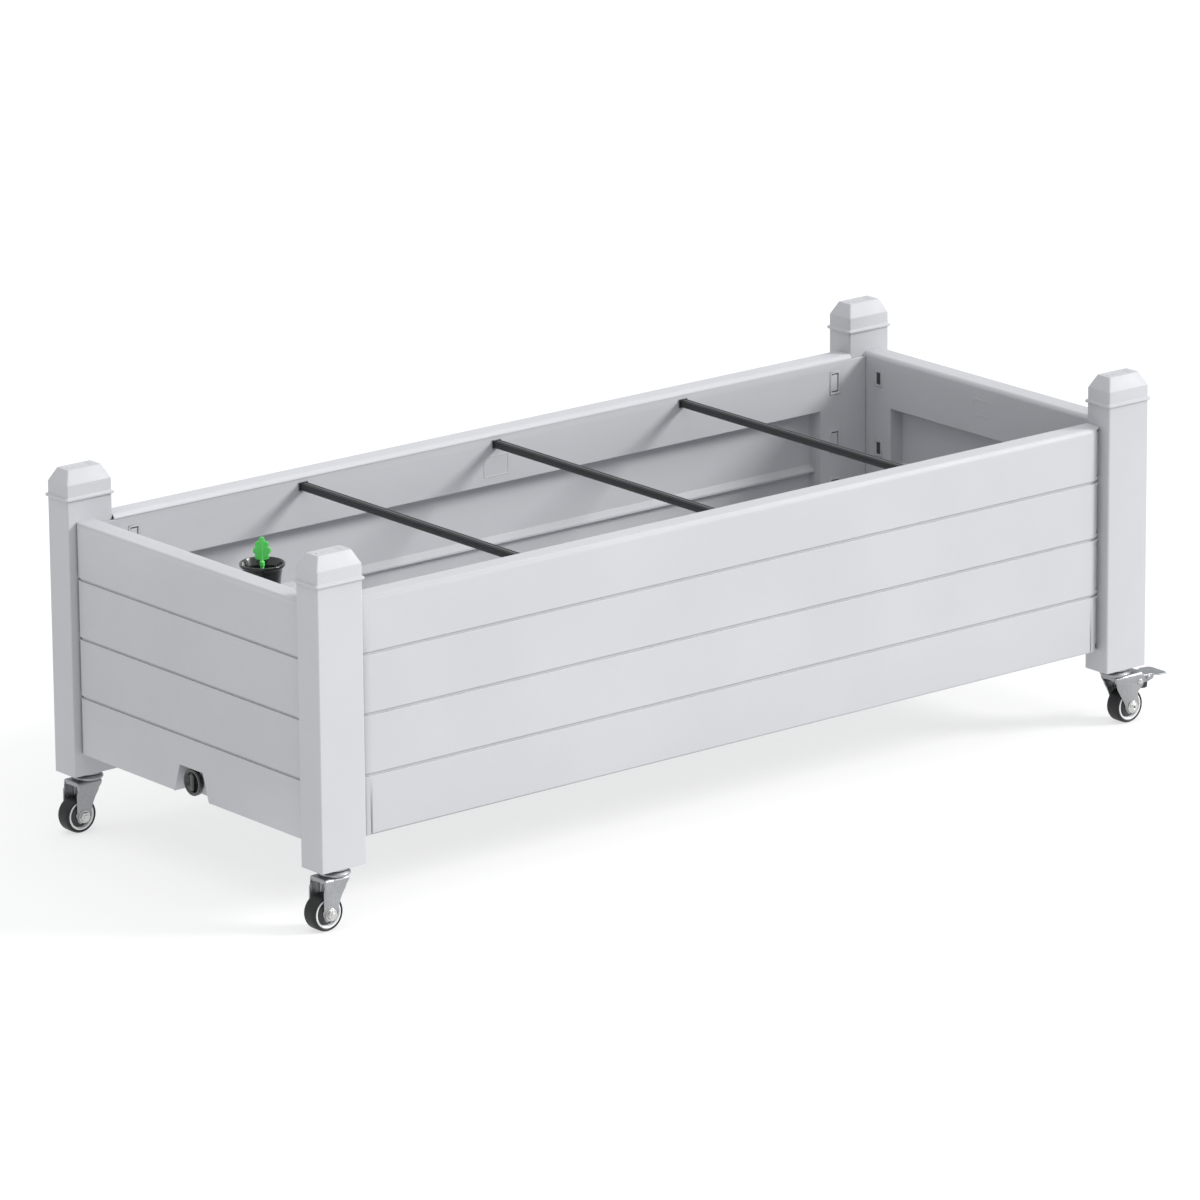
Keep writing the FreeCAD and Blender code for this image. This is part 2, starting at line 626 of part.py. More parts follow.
def float_body():
    foot = TRAY_FLOOR_Z + TRAY_WALL + 1
    r = FLOAT_R
    return lathe([
        (ROD_R, foot), (r - 3, foot), (r, foot + 3), (r, foot + FLOAT_H - 3), (r - 3, foot + FLOAT_H),
        (ROD_R, foot + FLOAT_H),
    ], TUBE_X, 0)


def float_rod():
    foot = TRAY_FLOOR_Z + TRAY_WALL + 1
    return rod(ROD_R, (TUBE_X, 0, foot), (0, 0, 1), 419 - foot)


def float_leaf():
    """A lobed leaf on a short stem, at the top of the float's rod."""
    half_t = 1.5
    lobes = ((0, 451.5, 4.0), (5.0, 445.0, 4.5), (-5.0, 445.0, 4.5), (7.0, 436.5, 5.2), (-7.0, 436.5, 5.2),
             (5.5, 428.0, 4.6), (-5.5, 428.0, 4.6), (0, 440.0, 6.5), (0, 431.0, 5.5))
    pieces = [rod(r, (u, -half_t, z), (0, 1, 0), 2 * half_t) for u, z, r in lobes]
    pieces.append(block(-1.5, 1.5, -half_t, half_t, 419, 430))
    pieces.append(rod(3.4, (0, 0, 415), (0, 0, 1), 6))
    solid = union(pieces).cut(rod(ROD_R, (0, 0, 414), (0, 0, 1), 5))
    solid.rotate(V(0, 0, 0), UP, -39)
    solid.translate(V(TUBE_X, 0, 0))
    return solid


def drain_plug():
    """A screw plug: a round head with an oval hollow, and a shank in the tray's spigot."""
    face_x = -END_D
    head = rod(DRAIN_HEAD_R, (face_x, 0, DRAIN_Z), (1, 0, 0), DRAIN_HEAD_T)
    head = head.makeFillet(1.5, [e for e in head.Edges if e.BoundBox.XLength < 0.01])
    shank = rod(DRAIN_SHANK_R, (face_x + DRAIN_HEAD_T, 0, DRAIN_Z), (1, 0, 0), 24)
    hollow = rod(13, (face_x - 1, 0, DRAIN_Z), (1, 0, 0), 5.5)
    grip = block(face_x, face_x + 6, -3, 3, DRAIN_Z - 12.6, DRAIN_Z + 12.6)
    return union([head.cut(hollow), shank, grip])


def drain_gasket():
    x0 = -END_D + DRAIN_HEAD_T
    outer = rod(DRAIN_SPIGOT_R + 1, (x0 + 0.3, 0, DRAIN_Z), (1, 0, 0), 2.3)
    return outer.cut(rod(DRAIN_SHANK_R + 0.4, (x0, 0, DRAIN_Z), (1, 0, 0), 4))


# ---------------------------------------------------------------- casters
# Each caster is made with its kingpin on the Z axis and its wheel trailing to +X.

def caster_stem():
    """The fixed stem, its flange under the post, and the riveted end below the fork."""
    stem = rod(STEM_R, (0, 0, CROWN_Z - 3), (0, 0, 1), STEM_TOP_Z - CROWN_Z + 3)
    r = STEM_FLANGE_R
    low = STEM_FLANGE_Z
    flange = lathe([(0, low), (r - 0.5, low), (r, low + 0.5), (r, POST_FOOT_Z), (0, POST_FOOT_Z)])
    z = CROWN_Z - 0.4
    rivet = lathe([(0, z - 4.1), (6, z - 4.1), (8, z - 2.1), (8, z), (0, z)])
    return union([stem, flange, rivet])


def caster_race():
    """The ball race's pressed housing, which turns with the fork."""
    r = RACE_R
    bore = 9
    return lathe([
        (bore, RACE_LOW_Z), (r - 2, RACE_LOW_Z), (r, RACE_LOW_Z + 1.4),
        (r, RACE_TOP_Z - 3), (r - 3, RACE_TOP_Z), (bore, RACE_TOP_Z),
    ])


def caster_fork(braked):
    """A pressed fork: an inverted U whose cheeks narrow down to the axle."""
    reach = 46
    top = RACE_LOW_Z
    outer = block(-reach, reach, -FORK_HALF, FORK_HALF, 10, top)
    outer = outer.makeFillet(4.0, edges_along(outer, "x", lambda c: c.z > top - 1))
    inner_half = FORK_HALF - FORK_T
    inner = block(-reach - 1, reach + 1, -inner_half, inner_half, 5, CROWN_Z)
    inner = inner.makeFillet(1.5, edges_along(inner, "x", lambda c: c.z > CROWN_Z - 1))
    section = [outer.cut(inner)]
    for x in SKIRT_X:
        section.append(block(x, x + FORK_T, -inner_half - 1, inner_half + 1, SKIRT_LOW_Z, CROWN_Z + 1))

    side = [(-17, top + 1), (-17, 66), (-14, 57), (TRAIL - BOSS_R, WHEEL_R), (TRAIL + BOSS_R, WHEEL_R)]
    if braked:
        side += [(TRAIL + BOSS_R, 50), (39, 54), (39, 66), (30, 70), (28.5, top + 1)]
    else:
        side += [(TRAIL + BOSS_R - 1, 52), (TRAIL + 6.7, top + 1)]
    width = 2 * FORK_HALF + 2
    profile = prism([(x, -width / 2, z) for x, z in side], (0, width, 0))
    profile = profile.fuse(rod(BOSS_R, (TRAIL, -width / 2, WHEEL_R), (0, 1, 0), width))
    fork = union(section).common(profile)
    fork = fork.cut(rod(STEM_R + RUN, (0, 0, CROWN_Z - 1), (0, 0, 1), 10))
    fork = fork.cut(rod(AXLE_R, (TRAIL, -width / 2, WHEEL_R), (0, 1, 0), width))
    if braked:
        fork = fork.cut(rod(PIVOT_R, (PIVOT_X, -width / 2, PIVOT_Z), (0, 1, 0), width))
    return fork.removeSplitter()


def caster_axle():
    """The axle bolt with its domed head in front and its nut behind."""
    shaft = rod(AXLE_R, (TRAIL, -FORK_HALF, WHEEL_R), (0, 1, 0), 2 * FORK_HALF + 6)
    head = lathe([(0, 0), (6.8, 0), (6.6, 1.6), (4.6, 3.4), (0, 4.2)])
    head.rotate(V(0, 0, 0), V(1, 0, 0), 90)
    head.translate(V(TRAIL, -FORK_HALF, WHEEL_R))
    corners = []
    for angle in range(0, 360, 60):
        across, up = 7.5 * math.cos(math.radians(angle)), 7.5 * math.sin(math.radians(angle))
        corners.append((TRAIL + across, FORK_HALF, WHEEL_R + up))
    nut = prism(corners, (0, 5, 0))
    return union([shaft, head, nut])


def caster_hub():
    rim_w, web = 10.5, 3.0
    half_boss = 13.6
    outline = [
        (AXLE_R + RUN, -half_boss), (8, -half_boss), (8.5, -web - 1), (15, -web), (16.5, -rim_w),
        (HUB_R, -rim_w), (HUB_R, rim_w),
        (16.5, rim_w), (15, web), (8.5, web + 1), (8, half_boss), (AXLE_R + RUN, half_boss),
    ]
    return lathe(outline, TRAIL, 0, "Y", WHEEL_R)


def caster_tyre():
    half = TYRE_W / 2
    outline = [
        (HUB_R, -half + 1.5), (HUB_R + 1.5, -half), (WHEEL_R - 3, -half + 0.6), (WHEEL_R - 0.8, -half + 3),
        (WHEEL_R, -half + 6), (WHEEL_R, half - 6), (WHEEL_R - 0.8, half - 3), (WHEEL_R - 3, half - 0.6),
        (HUB_R + 1.5, half), (HUB_R, half - 1.5),
    ]
    return lathe(outline, TRAIL, 0, "Y", WHEEL_R)


def brake_pin():
    """The lever's pivot, riveted through the fork's ears."""
    shaft = rod(PIVOT_R, (PIVOT_X, -FORK_HALF, PIVOT_Z), (0, 1, 0), 2 * FORK_HALF)
    heads = []
    for side in (-1, 1):
        head = lathe([(0, 0), (4.6, 0), (4.2, 1.2), (2.6, 2.3), (0, 2.8)])
        head.rotate(V(0, 0, 0), V(1, 0, 0), -90 * side)
        head.translate(V(PIVOT_X, side * FORK_HALF, PIVOT_Z))
        heads.append(head)
    return union([shaft] + heads)


def brake_lever():
    """The pressed pedal: two cheeks on the pivot, a sloped top and a wide lip."""
    cheek = [(28, 64), (28.5, 69.5), (60, 67.4), (60, 60), (52, 57), (38, 54.5), (30, 55)]
    pieces = []
    for side in (-1, 1):
        y0 = side * LEVER_HALF - (LEVER_T if side > 0 else 0)
        pieces.append(prism([(x, y0, z) for x, z in cheek], (0, LEVER_T, 0)))
        dome = lathe([(0, 0), (3.8, 0), (3.4, 1.2), (0, 2.2)])
        dome.rotate(V(0, 0, 0), V(1, 0, 0), -90 * side)
        dome.translate(V(51.0, side * LEVER_HALF, 62.4))
        pieces.append(dome)
    top = [(28.3, 67.5), (28.3, 69.5), (64, 67.1), (64, 65.1)]
    pieces.append(prism([(x, -LEVER_HALF, z) for x, z in top], (0, 2 * LEVER_HALF, 0)))
    pieces.append(lip_plate())
    return union(pieces).cut(rod(PIVOT_R + RUN, (PIVOT_X, -30, PIVOT_Z), (0, 1, 0), 60))


def lip_plate():
    """The lever's flared end: a flat plate that widens, on the same slope as the top."""
    wide, end = LIP_HALF, LIP_END_X
    right = [(60, LEVER_HALF), (66, wide), (end, wide)]
    plan = right + [(x, -y) for x, y in reversed(right)]
    slope = [(59, 65.4), (end + 1, 63.7), (end + 1, 65.7), (59, 67.4)]
    slab = prism([(x, -wide - 1, z) for x, z in slope], (0, 2 * wide + 2, 0))
    return prism([(x, y, 50) for x, y in plan], (0, 0, 30)).common(slab)


def brake_pad():
    """The rubber shoe, held between the lever's cheeks."""
    half = LEVER_HALF - LEVER_T - 0.2
    side = [(39.5, 47), (51, 46), (52, 57), (50, 64), (42, 64), (40, 56)]
    return prism([(x, -half, z) for x, z in side], (0, 2 * half, 0))


def at_corner(shape, sx, sy):
    """Place a caster part under a post, trailing outwards along X."""
    copy = shape.copy()
    if sx < 0:
        copy.rotate(V(0, 0, 0), UP, 180)
    copy.translate(V(sx * POST_CX, sy * POST_CY, 0))
    return copy


# ---------------------------------------------------------------- write the parts

def main():
    os.makedirs("parts", exist_ok=True)
    long_one = long_panel()
    write("front_panel", long_one)
    write("back_panel", turned(long_one, 180))
    end_one = end_panel()
    write("right_end_panel", turned(end_one, 90))
    left = turned(end_one, -90)
    write("left_end_panel", left.fuse(notch_lining()).cut(notch()).removeSplitter())

    post = corner_post()
    cap = post_cap()
    insert = foot_insert()
    for corner, (sx, sy) in CORNERS.items():
        write("corner_post_" + corner, in_corner(post, sx, sy))
        write("post_cap_" + corner, in_corner(cap, sx, sy))
    write("foot_inserts", Part.makeCompound([in_corner(insert, sx, sy) for sx, sy in CORNERS.values()]))

    for name, x in zip(("left", "middle", "right"), BAR_X):
        write("tie_bar_" + name, tie_bar(x))
    ends = [(x, side) for x in BAR_X for side in (-1, 1)]
    write("tie_bar_brackets", Part.makeCompound([tie_bar_bracket(x, side) for x, side in ends]))
    write("tie_bar_screws", Part.makeCompound([tie_bar_screw(x, side) for x, side in ends]))

    write("reservoir_tray", reservoir_tray())
    write("soil_platform", soil_platform())
    write("platform_legs", Part.makeCompound([platform_leg(x, y) for x in LEG_X for y in LEG_Y]))
    for name, x in zip(("left", "right"), BASKET_X):
        write("wick_basket_" + name, wick_basket(x))
    write("fill_tube", fill_tube())
    write("float_body", float_body())
    write("float_rod", float_rod())
    write("float_leaf", float_leaf())
    write("drain_plug", drain_plug())
    write("drain_gasket", drain_gasket())

    for corner, (sx, sy) in CORNERS.items():
        braked = sx > 0
        prefix = "caster_" + corner + "_"
        write(prefix + "stem", at_corner(caster_stem(), sx, sy))
        write(prefix + "race", at_corner(caster_race(), sx, sy))
        write(prefix + "fork", at_corner(caster_fork(braked), sx, sy))
        write(prefix + "axle", at_corner(caster_axle(), sx, sy))
        write(prefix + "hub", at_corner(caster_hub(), sx, sy))
        write(prefix + "tyre", at_corner(caster_tyre(), sx, sy))
        if braked:
            write(prefix + "brake_lever", at_corner(brake_lever(), sx, sy))
            write(prefix + "brake_pad", at_corner(brake_pad(), sx, sy))
            write(prefix + "brake_pin", at_corner(brake_pin(), sx, sy))


main()
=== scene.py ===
import json
import math

import bmesh
import bpy
from mathutils import Matrix, Vector


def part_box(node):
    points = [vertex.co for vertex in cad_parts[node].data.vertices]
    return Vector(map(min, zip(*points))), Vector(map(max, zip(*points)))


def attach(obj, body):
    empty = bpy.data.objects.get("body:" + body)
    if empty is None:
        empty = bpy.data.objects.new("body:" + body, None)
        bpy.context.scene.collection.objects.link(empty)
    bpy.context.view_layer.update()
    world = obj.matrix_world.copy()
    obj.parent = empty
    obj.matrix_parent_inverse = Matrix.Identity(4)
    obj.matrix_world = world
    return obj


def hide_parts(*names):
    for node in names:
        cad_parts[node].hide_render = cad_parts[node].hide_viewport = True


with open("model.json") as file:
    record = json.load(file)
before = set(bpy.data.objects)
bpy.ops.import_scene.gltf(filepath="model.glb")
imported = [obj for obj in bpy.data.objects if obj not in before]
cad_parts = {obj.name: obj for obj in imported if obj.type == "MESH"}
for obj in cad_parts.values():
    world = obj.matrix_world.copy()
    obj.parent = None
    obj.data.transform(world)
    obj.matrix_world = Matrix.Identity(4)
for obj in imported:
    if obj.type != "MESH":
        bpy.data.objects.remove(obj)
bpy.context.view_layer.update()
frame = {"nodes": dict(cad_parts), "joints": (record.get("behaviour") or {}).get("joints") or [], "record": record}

MM = 0.001
NODES = frame["nodes"]
JOINTS = {joint["name"]: joint for joint in frame["joints"]}
CORNERS = {
    "front_left": (-1, -1),
    "front_right": (1, -1),
    "back_left": (-1, 1),
    "back_right": (1, 1),
}


# ------------------------------------------------------------------ camera, lights and floor

CAMERA_AZIMUTH = math.radians(-39.08)
CAMERA_ELEVATION = math.radians(16.26)
CAMERA_ROLL = math.radians(-0.46)
CAMERA_TARGET = Vector((-0.01789, 0.0, 0.2573))
CAMERA_DISTANCE = 11.157
CAMERA_LENS = 241.97
FLOOR_SIZE = 80.0


def add_camera():
    """The camera looks at the target from its azimuth, elevation and distance."""
    azimuth, elevation, roll = CAMERA_AZIMUTH, CAMERA_ELEVATION, CAMERA_ROLL
    back = Vector((
        math.sin(azimuth) * math.cos(elevation),
        -math.cos(azimuth) * math.cos(elevation),
        math.sin(elevation),
    ))
    level = Vector((math.cos(azimuth), math.sin(azimuth), 0.0))
    upright = back.cross(level)
    right = level * math.cos(roll) + upright * math.sin(roll)
    up = upright * math.cos(roll) - level * math.sin(roll)
    data = bpy.data.cameras.new("camera")
    data.lens = CAMERA_LENS
    data.sensor_width = 36.0
    data.clip_end = 200.0
    camera = bpy.data.objects.new("camera", data)
    rotation = Matrix((right, up, back)).transposed().to_4x4()
    camera.matrix_world = Matrix.Translation(CAMERA_TARGET + back * CAMERA_DISTANCE) @ rotation
    bpy.context.scene.collection.objects.link(camera)
    bpy.context.scene.camera = camera


def add_sun(name, direction, strength, spread, colour):
    """A soft light from far away, from a direction; spread is its angle in degrees."""
    away = Vector(direction).normalized()
    data = bpy.data.lights.new(name, "SUN")
    data.energy = strength
    data.angle = math.radians(spread)
    data.color = colour
    light = bpy.data.objects.new(name, data)
    light.matrix_world = away.to_track_quat("Z", "Y").to_matrix().to_4x4()
    bpy.context.scene.collection.objects.link(light)


def add_studio():
    """Even sky light, a soft key from the right, a wide light from above, and the floor."""
    scene = bpy.context.scene
    scene.view_settings.view_transform = "Standard"
    scene.view_settings.look = "None"
    world = bpy.data.worlds.new("studio")
    world.use_nodes = True
    background = world.node_tree.nodes["Background"]
    background.inputs["Color"].default_value = (0.97, 0.985, 1.0, 1.0)
    background.inputs["Strength"].default_value = 0.74
    scene.world = world
    add_sun("key", (0.74, -0.58, 0.5), 2.75, 16.0, (1.0, 0.99, 0.98))
    add_sun("top", (-0.1, -0.2, 1.0), 0.9, 70.0, (1.0, 1.0, 1.0))

    half = FLOOR_SIZE / 2
    bm = bmesh.new()
    corners = ((-half, -half), (half, -half), (half, half), (-half, half))
    bm.faces.new([bm.verts.new((x, y, 0.0)) for x, y in corners])
    floor = object_from(bm, "floor")
    floor.data.materials.append(floor_material())


# ------------------------------------------------------------------ materials

def new_material(name):
    material = bpy.data.materials.new(name)
    material.use_nodes = True
    tree = material.node_tree
    shader = tree.nodes["Principled BSDF"]
    return material, tree, shader


def object_noise(tree, scale, detail=3.0):
    """A noise texture in the piece's own coordinates, in metres."""
    place = tree.nodes.new("ShaderNodeTexCoord")
    noise = tree.nodes.new("ShaderNodeTexNoise")
    noise.inputs["Scale"].default_value = scale
    noise.inputs["Detail"].default_value = detail
    tree.links.new(place.outputs["Object"], noise.inputs["Vector"])
    return noise.outputs["Fac"]


def ramp(tree, value, low, high, dark, light):
    """Maps a value between two positions to a colour."""
    node = tree.nodes.new("ShaderNodeValToRGB")
    node.color_ramp.elements[0].position = low
    node.color_ramp.elements[0].color = dark
    node.color_ramp.elements[1].position = high
    node.color_ramp.elements[1].color = light
    tree.links.new(value, node.inputs["Fac"])
    return node.outputs["Color"]


def span(tree, value, from_low, from_high, to_low, to_high):
    """Maps a value's range to another range."""
    node = tree.nodes.new("ShaderNodeMapRange")
    for name, number in (
        ("From Min", from_low), ("From Max", from_high), ("To Min", to_low), ("To Max", to_high),
    ):
        node.inputs[name].default_value = number
    tree.links.new(value, node.inputs["Value"])
    return node.outputs["Result"]


def mixed(tree, first, second, share):
    """Mixes two colours by a share between 0 and 1."""
    node = tree.nodes.new("ShaderNodeMix")
    node.data_type = "RGBA"
    if isinstance(share, float):
        node.inputs[0].default_value = share
    else:
        tree.links.new(share, node.inputs[0])
    tree.links.new(first, node.inputs[6])
    tree.links.new(second, node.inputs[7])
    return node.outputs[2]


def vary_roughness(tree, shader, noise, low, high):
    """Lets the shader's roughness follow a noise between two values."""
    tree.links.new(span(tree, noise, 0.3, 0.7, low, high), shader.inputs["Roughness"])


def bump(tree, shader, layers):
    """Chains bump layers of (height, distance in metres, strength) into the shader's normal."""
    last = None
    for height, distance, strength in layers:
        node = tree.nodes.new("ShaderNodeBump")
        node.inputs["Distance"].default_value = distance
        node.inputs["Strength"].default_value = strength
        tree.links.new(height, node.inputs["Height"])
        if last is not None:
            tree.links.new(last, node.inputs["Normal"])
        last = node.outputs["Normal"]
    tree.links.new(last, shader.inputs["Normal"])


def shade(colour, factor):
    """The colour made brighter or darker by a factor, with its alpha."""
    return tuple(min(1.0, c * factor) for c in colour) + (1.0,)


def moulded_resin(name, colour, roughness, grain=0.10, mottle=0.035, coat=0.0, gloss=0.5):
    """Moulded resin: a fine satin grain, slow tone changes, and a painted highlight that brightens its sharp
    convex edges.
    """
    material, tree, shader = new_material(name)
    clouds = object_noise(tree, 6.0, 4.0)
    tone = ramp(tree, clouds, 0.35, 0.65, shade(colour, 1 - mottle), shade(colour, 1 + mottle))
    speckle = object_noise(tree, 900.0, 2.0)
    fine = ramp(tree, speckle, 0.3, 0.7, shade(colour, 0.965), shade(colour, 1.035))
    body = mixed(tree, tone, fine, 0.5)
    geometry = tree.nodes.new("ShaderNodeNewGeometry")
    # painted highlight: sharp convex edges are made brighter, standing in for light caught by the rounded edges
    edge_highlight_mask = span(tree, geometry.outputs["Pointiness"], 0.52, 0.60, 0.0, 0.35)
    edge_highlight_colour = ramp(tree, clouds, 0.0, 1.0, shade(colour, 1.12), shade(colour, 1.2))
    tree.links.new(mixed(tree, body, edge_highlight_colour, edge_highlight_mask), shader.inputs["Base Color"])
    scuffs = object_noise(tree, 35.0, 5.0)
    vary_roughness(tree, shader, scuffs, roughness - 0.05, roughness + 0.07)
    shader.inputs["Specular IOR Level"].default_value = gloss
    shader.inputs["Coat Weight"].default_value = coat
    shader.inputs["Coat Roughness"].default_value = 0.12
    bump(tree, shader, [
        (object_noise(tree, 1400.0, 2.0), 0.00008, grain),
        (object_noise(tree, 3.2, 2.0), 0.0008, 0.25),
    ])
    return material


def plated_steel(name, colour, roughness, blotches=0.12):
    """Zinc-plated sheet steel: faint crystal blotches, rolling lines and handling marks."""
    material, tree, shader = new_material(name)
    patches = tree.nodes.new("ShaderNodeTexVoronoi")
    place = tree.nodes.new("ShaderNodeTexCoord")
    patches.inputs["Scale"].default_value = 260.0
    tree.links.new(place.outputs["Object"], patches.inputs["Vector"])
    light, dark = shade(colour, 1 + blotches), shade(colour, 1 - blotches)
    crystals = ramp(tree, patches.outputs["Distance"], 0.1, 0.8, light, dark)
    stains = object_noise(tree, 60.0, 4.0)
    clouds = ramp(tree, stains, 0.3, 0.7, shade(colour, 0.86), shade(colour, 1.1))
    tree.links.new(mixed(tree, crystals, clouds, 0.55), shader.inputs["Base Color"])
    shader.inputs["Metallic"].default_value = 1.0
    lines = object_noise(tree, 700.0, 2.0)
    vary_roughness(tree, shader, stains, roughness - 0.08, roughness + 0.1)
    bump(tree, shader, [(lines, 0.00005, 0.12), (stains, 0.0003, 0.15)])
    return material


def tyre_rubber(name, colour, roughness):
    """Matt thermoplastic rubber with dust in the grain, and a roughness that follows the dust."""
    material, tree, shader = new_material(name)
    dust = object_noise(tree, 45.0, 5.0)
    base = ramp(tree, dust, 0.35, 0.75, shade(colour, 0.85), shade(colour, 1.5))
    tree.links.new(base, shader.inputs["Base Color"])
    vary_roughness(tree, shader, dust, roughness - 0.08, roughness + 0.08)
    shader.inputs["Specular IOR Level"].default_value = 0.35
    bump(tree, shader, [(object_noise(tree, 1800.0, 2.0), 0.0001, 0.3), (dust, 0.0002, 0.1)])
    return material


def powder_coat(name, colour, roughness):
    """Black powder coat: a pebbled surface with a soft sheen and a painted highlight that greys its sharp convex
    edges.
    """
    material, tree, shader = new_material(name)
    wear = object_noise(tree, 25.0, 5.0)
    base = ramp(tree, wear, 0.3, 0.75, shade(colour, 0.85), shade(colour, 1.35))
    geometry = tree.nodes.new("ShaderNodeNewGeometry")
    # painted highlight: sharp convex edges turn grey, standing in for light caught by the bar's rounded edges
    edge_highlight_mask = span(tree, geometry.outputs["Pointiness"], 0.53, 0.62, 0.0, 0.5)
    edge_highlight_grey = ramp(tree, wear, 0.0, 1.0, (0.10, 0.10, 0.105, 1.0), (0.16, 0.16, 0.165, 1.0))
    tree.links.new(mixed(tree, base, edge_highlight_grey, edge_highlight_mask), shader.inputs["Base Color"])
    vary_roughness(tree, shader, wear, roughness - 0.06, roughness + 0.08)
    bump(tree, shader, [(object_noise(tree, 900.0, 1.0), 0.0001, 0.35)])
    return material


def floor_material():
    """A pale matt floor with a faint light of its own, which keeps it nearly white."""
    material, tree, shader = new_material("studio_floor")
    cloud = object_noise(tree, 0.6, 2.0)
    tone = ramp(tree, cloud, 0.3, 0.7, (0.31, 0.31, 0.31, 1.0), (0.33, 0.33, 0.33, 1.0))
    tree.links.new(tone, shader.inputs["Base Color"])
    shader.inputs["Roughness"].default_value = 0.8
    shader.inputs["Specular IOR Level"].default_value = 0.1
    shader.inputs["Emission Color"].default_value = (1.0, 1.0, 1.0, 1.0)
    shader.inputs["Emission Strength"].default_value = 0.64
    return material


def make_materials():
    """One material for each slot of the record."""
    return {
        "pale_resin": moulded_resin("pale_resin", (0.47, 0.475, 0.497), 0.52, gloss=0.3),
        "insert_resin": moulded_resin("insert_resin", (0.22, 0.225, 0.235), 0.48),
        "tray_resin": moulded_resin("tray_resin", (0.50, 0.51, 0.53), 0.5),
        "basket_resin": moulded_resin("basket_resin", (0.05, 0.05, 0.055), 0.45, mottle=0.15),
        "black_gloss_resin": moulded_resin(
            "black_gloss_resin", (0.012, 0.012, 0.013), 0.2, grain=0.04, mottle=0.2, coat=0.5),
        "float_resin": moulded_resin("float_resin", (0.78, 0.78, 0.75), 0.45),
        "green_resin": moulded_resin("green_resin", (0.11, 0.68, 0.13), 0.38, mottle=0.08),
        "black_bar": powder_coat("black_bar", (0.02, 0.021, 0.023), 0.36),
        "black_screw": powder_coat("black_screw", (0.035, 0.035, 0.037), 0.3),
        "zinc_steel": plated_steel("zinc_steel", (0.36, 0.37, 0.38), 0.44),
        "bright_zinc": plated_steel("bright_zinc", (0.60, 0.60, 0.59), 0.3, blotches=0.08),
        "hub_resin": moulded_resin("hub_resin", (0.74, 0.75, 0.76), 0.35),
        "tyre_rubber": tyre_rubber("tyre_rubber", (0.012, 0.012, 0.013), 0.48),
        "black_rubber": tyre_rubber("black_rubber", (0.018, 0.018, 0.018), 0.6),
    }


# ------------------------------------------------------------------ mesh helpers

def object_from(bm, name, smooth_angle=35.0):
    """An object from a bmesh, smooth except where faces meet at more than the angle."""
    bmesh.ops.recalc_face_normals(bm, faces=bm.faces)
    mesh = bpy.data.meshes.new(name)
    bm.to_mesh(mesh)
    bm.free()
    mesh.shade_smooth()
    mesh.set_sharp_from_angle(angle=math.radians(smooth_angle))
    obj = bpy.data.objects.new(name, mesh)
    bpy.context.scene.collection.objects.link(obj)
    return obj


def round_edges(obj, width, segments=3, angle=30.0):
    """Rounds every sharp edge with hardened normals."""
    bevel = obj.modifiers.new("round_edges", "BEVEL")
    bevel.width = width
    bevel.segments = segments
    bevel.limit_method = "ANGLE"
    bevel.angle_limit = math.radians(angle)
    bevel.use_clamp_overlap = False
    bevel.harden_normals = True
    obj.data.shade_smooth()
    return obj


def place_piece(obj, body, slot, *nodes):
    """Gives a piece its body, its material and the CAD nodes that it stands for."""
    obj.data.materials.clear()
    obj.data.materials.append(MATERIALS[slot])
    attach(obj, body)
    if nodes:
        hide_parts(*nodes)
    return obj


def body_of(node):
    """The moving body that a CAD node belongs to."""
    for body, members in frame["record"]["behaviour"]["bodies"].items():
        if node in members:
            return body
    raise KeyError(node)


def slot_of(node):
    """The material slot that the record gives a CAD node."""
    return next(part["material_slot"] for part in frame["record"]["subparts"] if part["node"] == node)


def filleted(points, steps=6):
    """An open outline from (x, y, radius) points, with each inner corner rounded by an arc."""
    out = []
    count = len(points)
    for i, (x, y, radius) in enumerate(points):
        here = Vector((x, y))
        if radius <= 0 or i in (0, count - 1):
            out.append(here)
            continue
        before = Vector(points[i - 1][:2]) - here
        after = Vector(points[i + 1][:2]) - here
        out.extend(corner_arc(here, before, after, radius, steps))
    return out


def filleted_loop(points, steps=6):
    """A closed outline whose corners are all rounded."""
    out = []
    count = len(points)
    for i, (x, y, radius) in enumerate(points):
        here = Vector((x, y))
        before = Vector(points[i - 1][:2]) - here
        after = Vector(points[(i + 1) % count][:2]) - here
        if radius <= 0:
            out.append(here)
        else:
            out.extend(corner_arc(here, before, after, radius, steps))
    return out


def corner_arc(corner, before, after, radius, steps):
    """Points of the arc that rounds a corner between two directions."""
    half = before.angle(after) / 2
    reach = min(radius / math.tan(half), 0.49 * before.length, 0.49 * after.length)
    start = corner + before.normalized() * reach
    end = corner + after.normalized() * reach
    fitted = reach * math.tan(half)
    centre = corner + (before.normalized() + after.normalized()).normalized() * (fitted / math.sin(half))
    a = start - centre
    b = end - centre
    sweep = a.angle(b)
    side = 1 if a.x * b.y - a.y * b.x > 0 else -1
    return [centre + Matrix.Rotation(side * sweep * k / steps, 2) @ a for k in range(steps + 1)]


def spun(name, outline, segments=96, axis="Z", closed=False):
    """A turned piece from an outline of (radius, height, rounding) points, in millimetres."""
    flat = filleted_loop(outline) if closed else filleted(outline)
    bm = bmesh.new()
    rings = []
    for point in flat:
        if point.x < 1e-6:
            rings.append([bm.verts.new((0, 0, point.y * MM))])
            continue
        ring = []
        for k in range(segments):
            angle = 2 * math.pi * k / segments
            x, y = point.x * MM * math.cos(angle), point.x * MM * math.sin(angle)
            ring.append(bm.verts.new((x, y, point.y * MM)))
        rings.append(ring)
    pairs = list(zip(rings, rings[1:]))
    if closed:
        pairs.append((rings[-1], rings[0]))
    for low, high in pairs:
        join_rings(bm, low, high)
    if axis == "Y":
        bmesh.ops.rotate(bm, verts=bm.verts, matrix=Matrix.Rotation(math.radians(-90), 3, "X"))
    if axis == "X":
        bmesh.ops.rotate(bm, verts=bm.verts, matrix=Matrix.Rotation(math.radians(90), 3, "Y"))
    return object_from(bm, name)


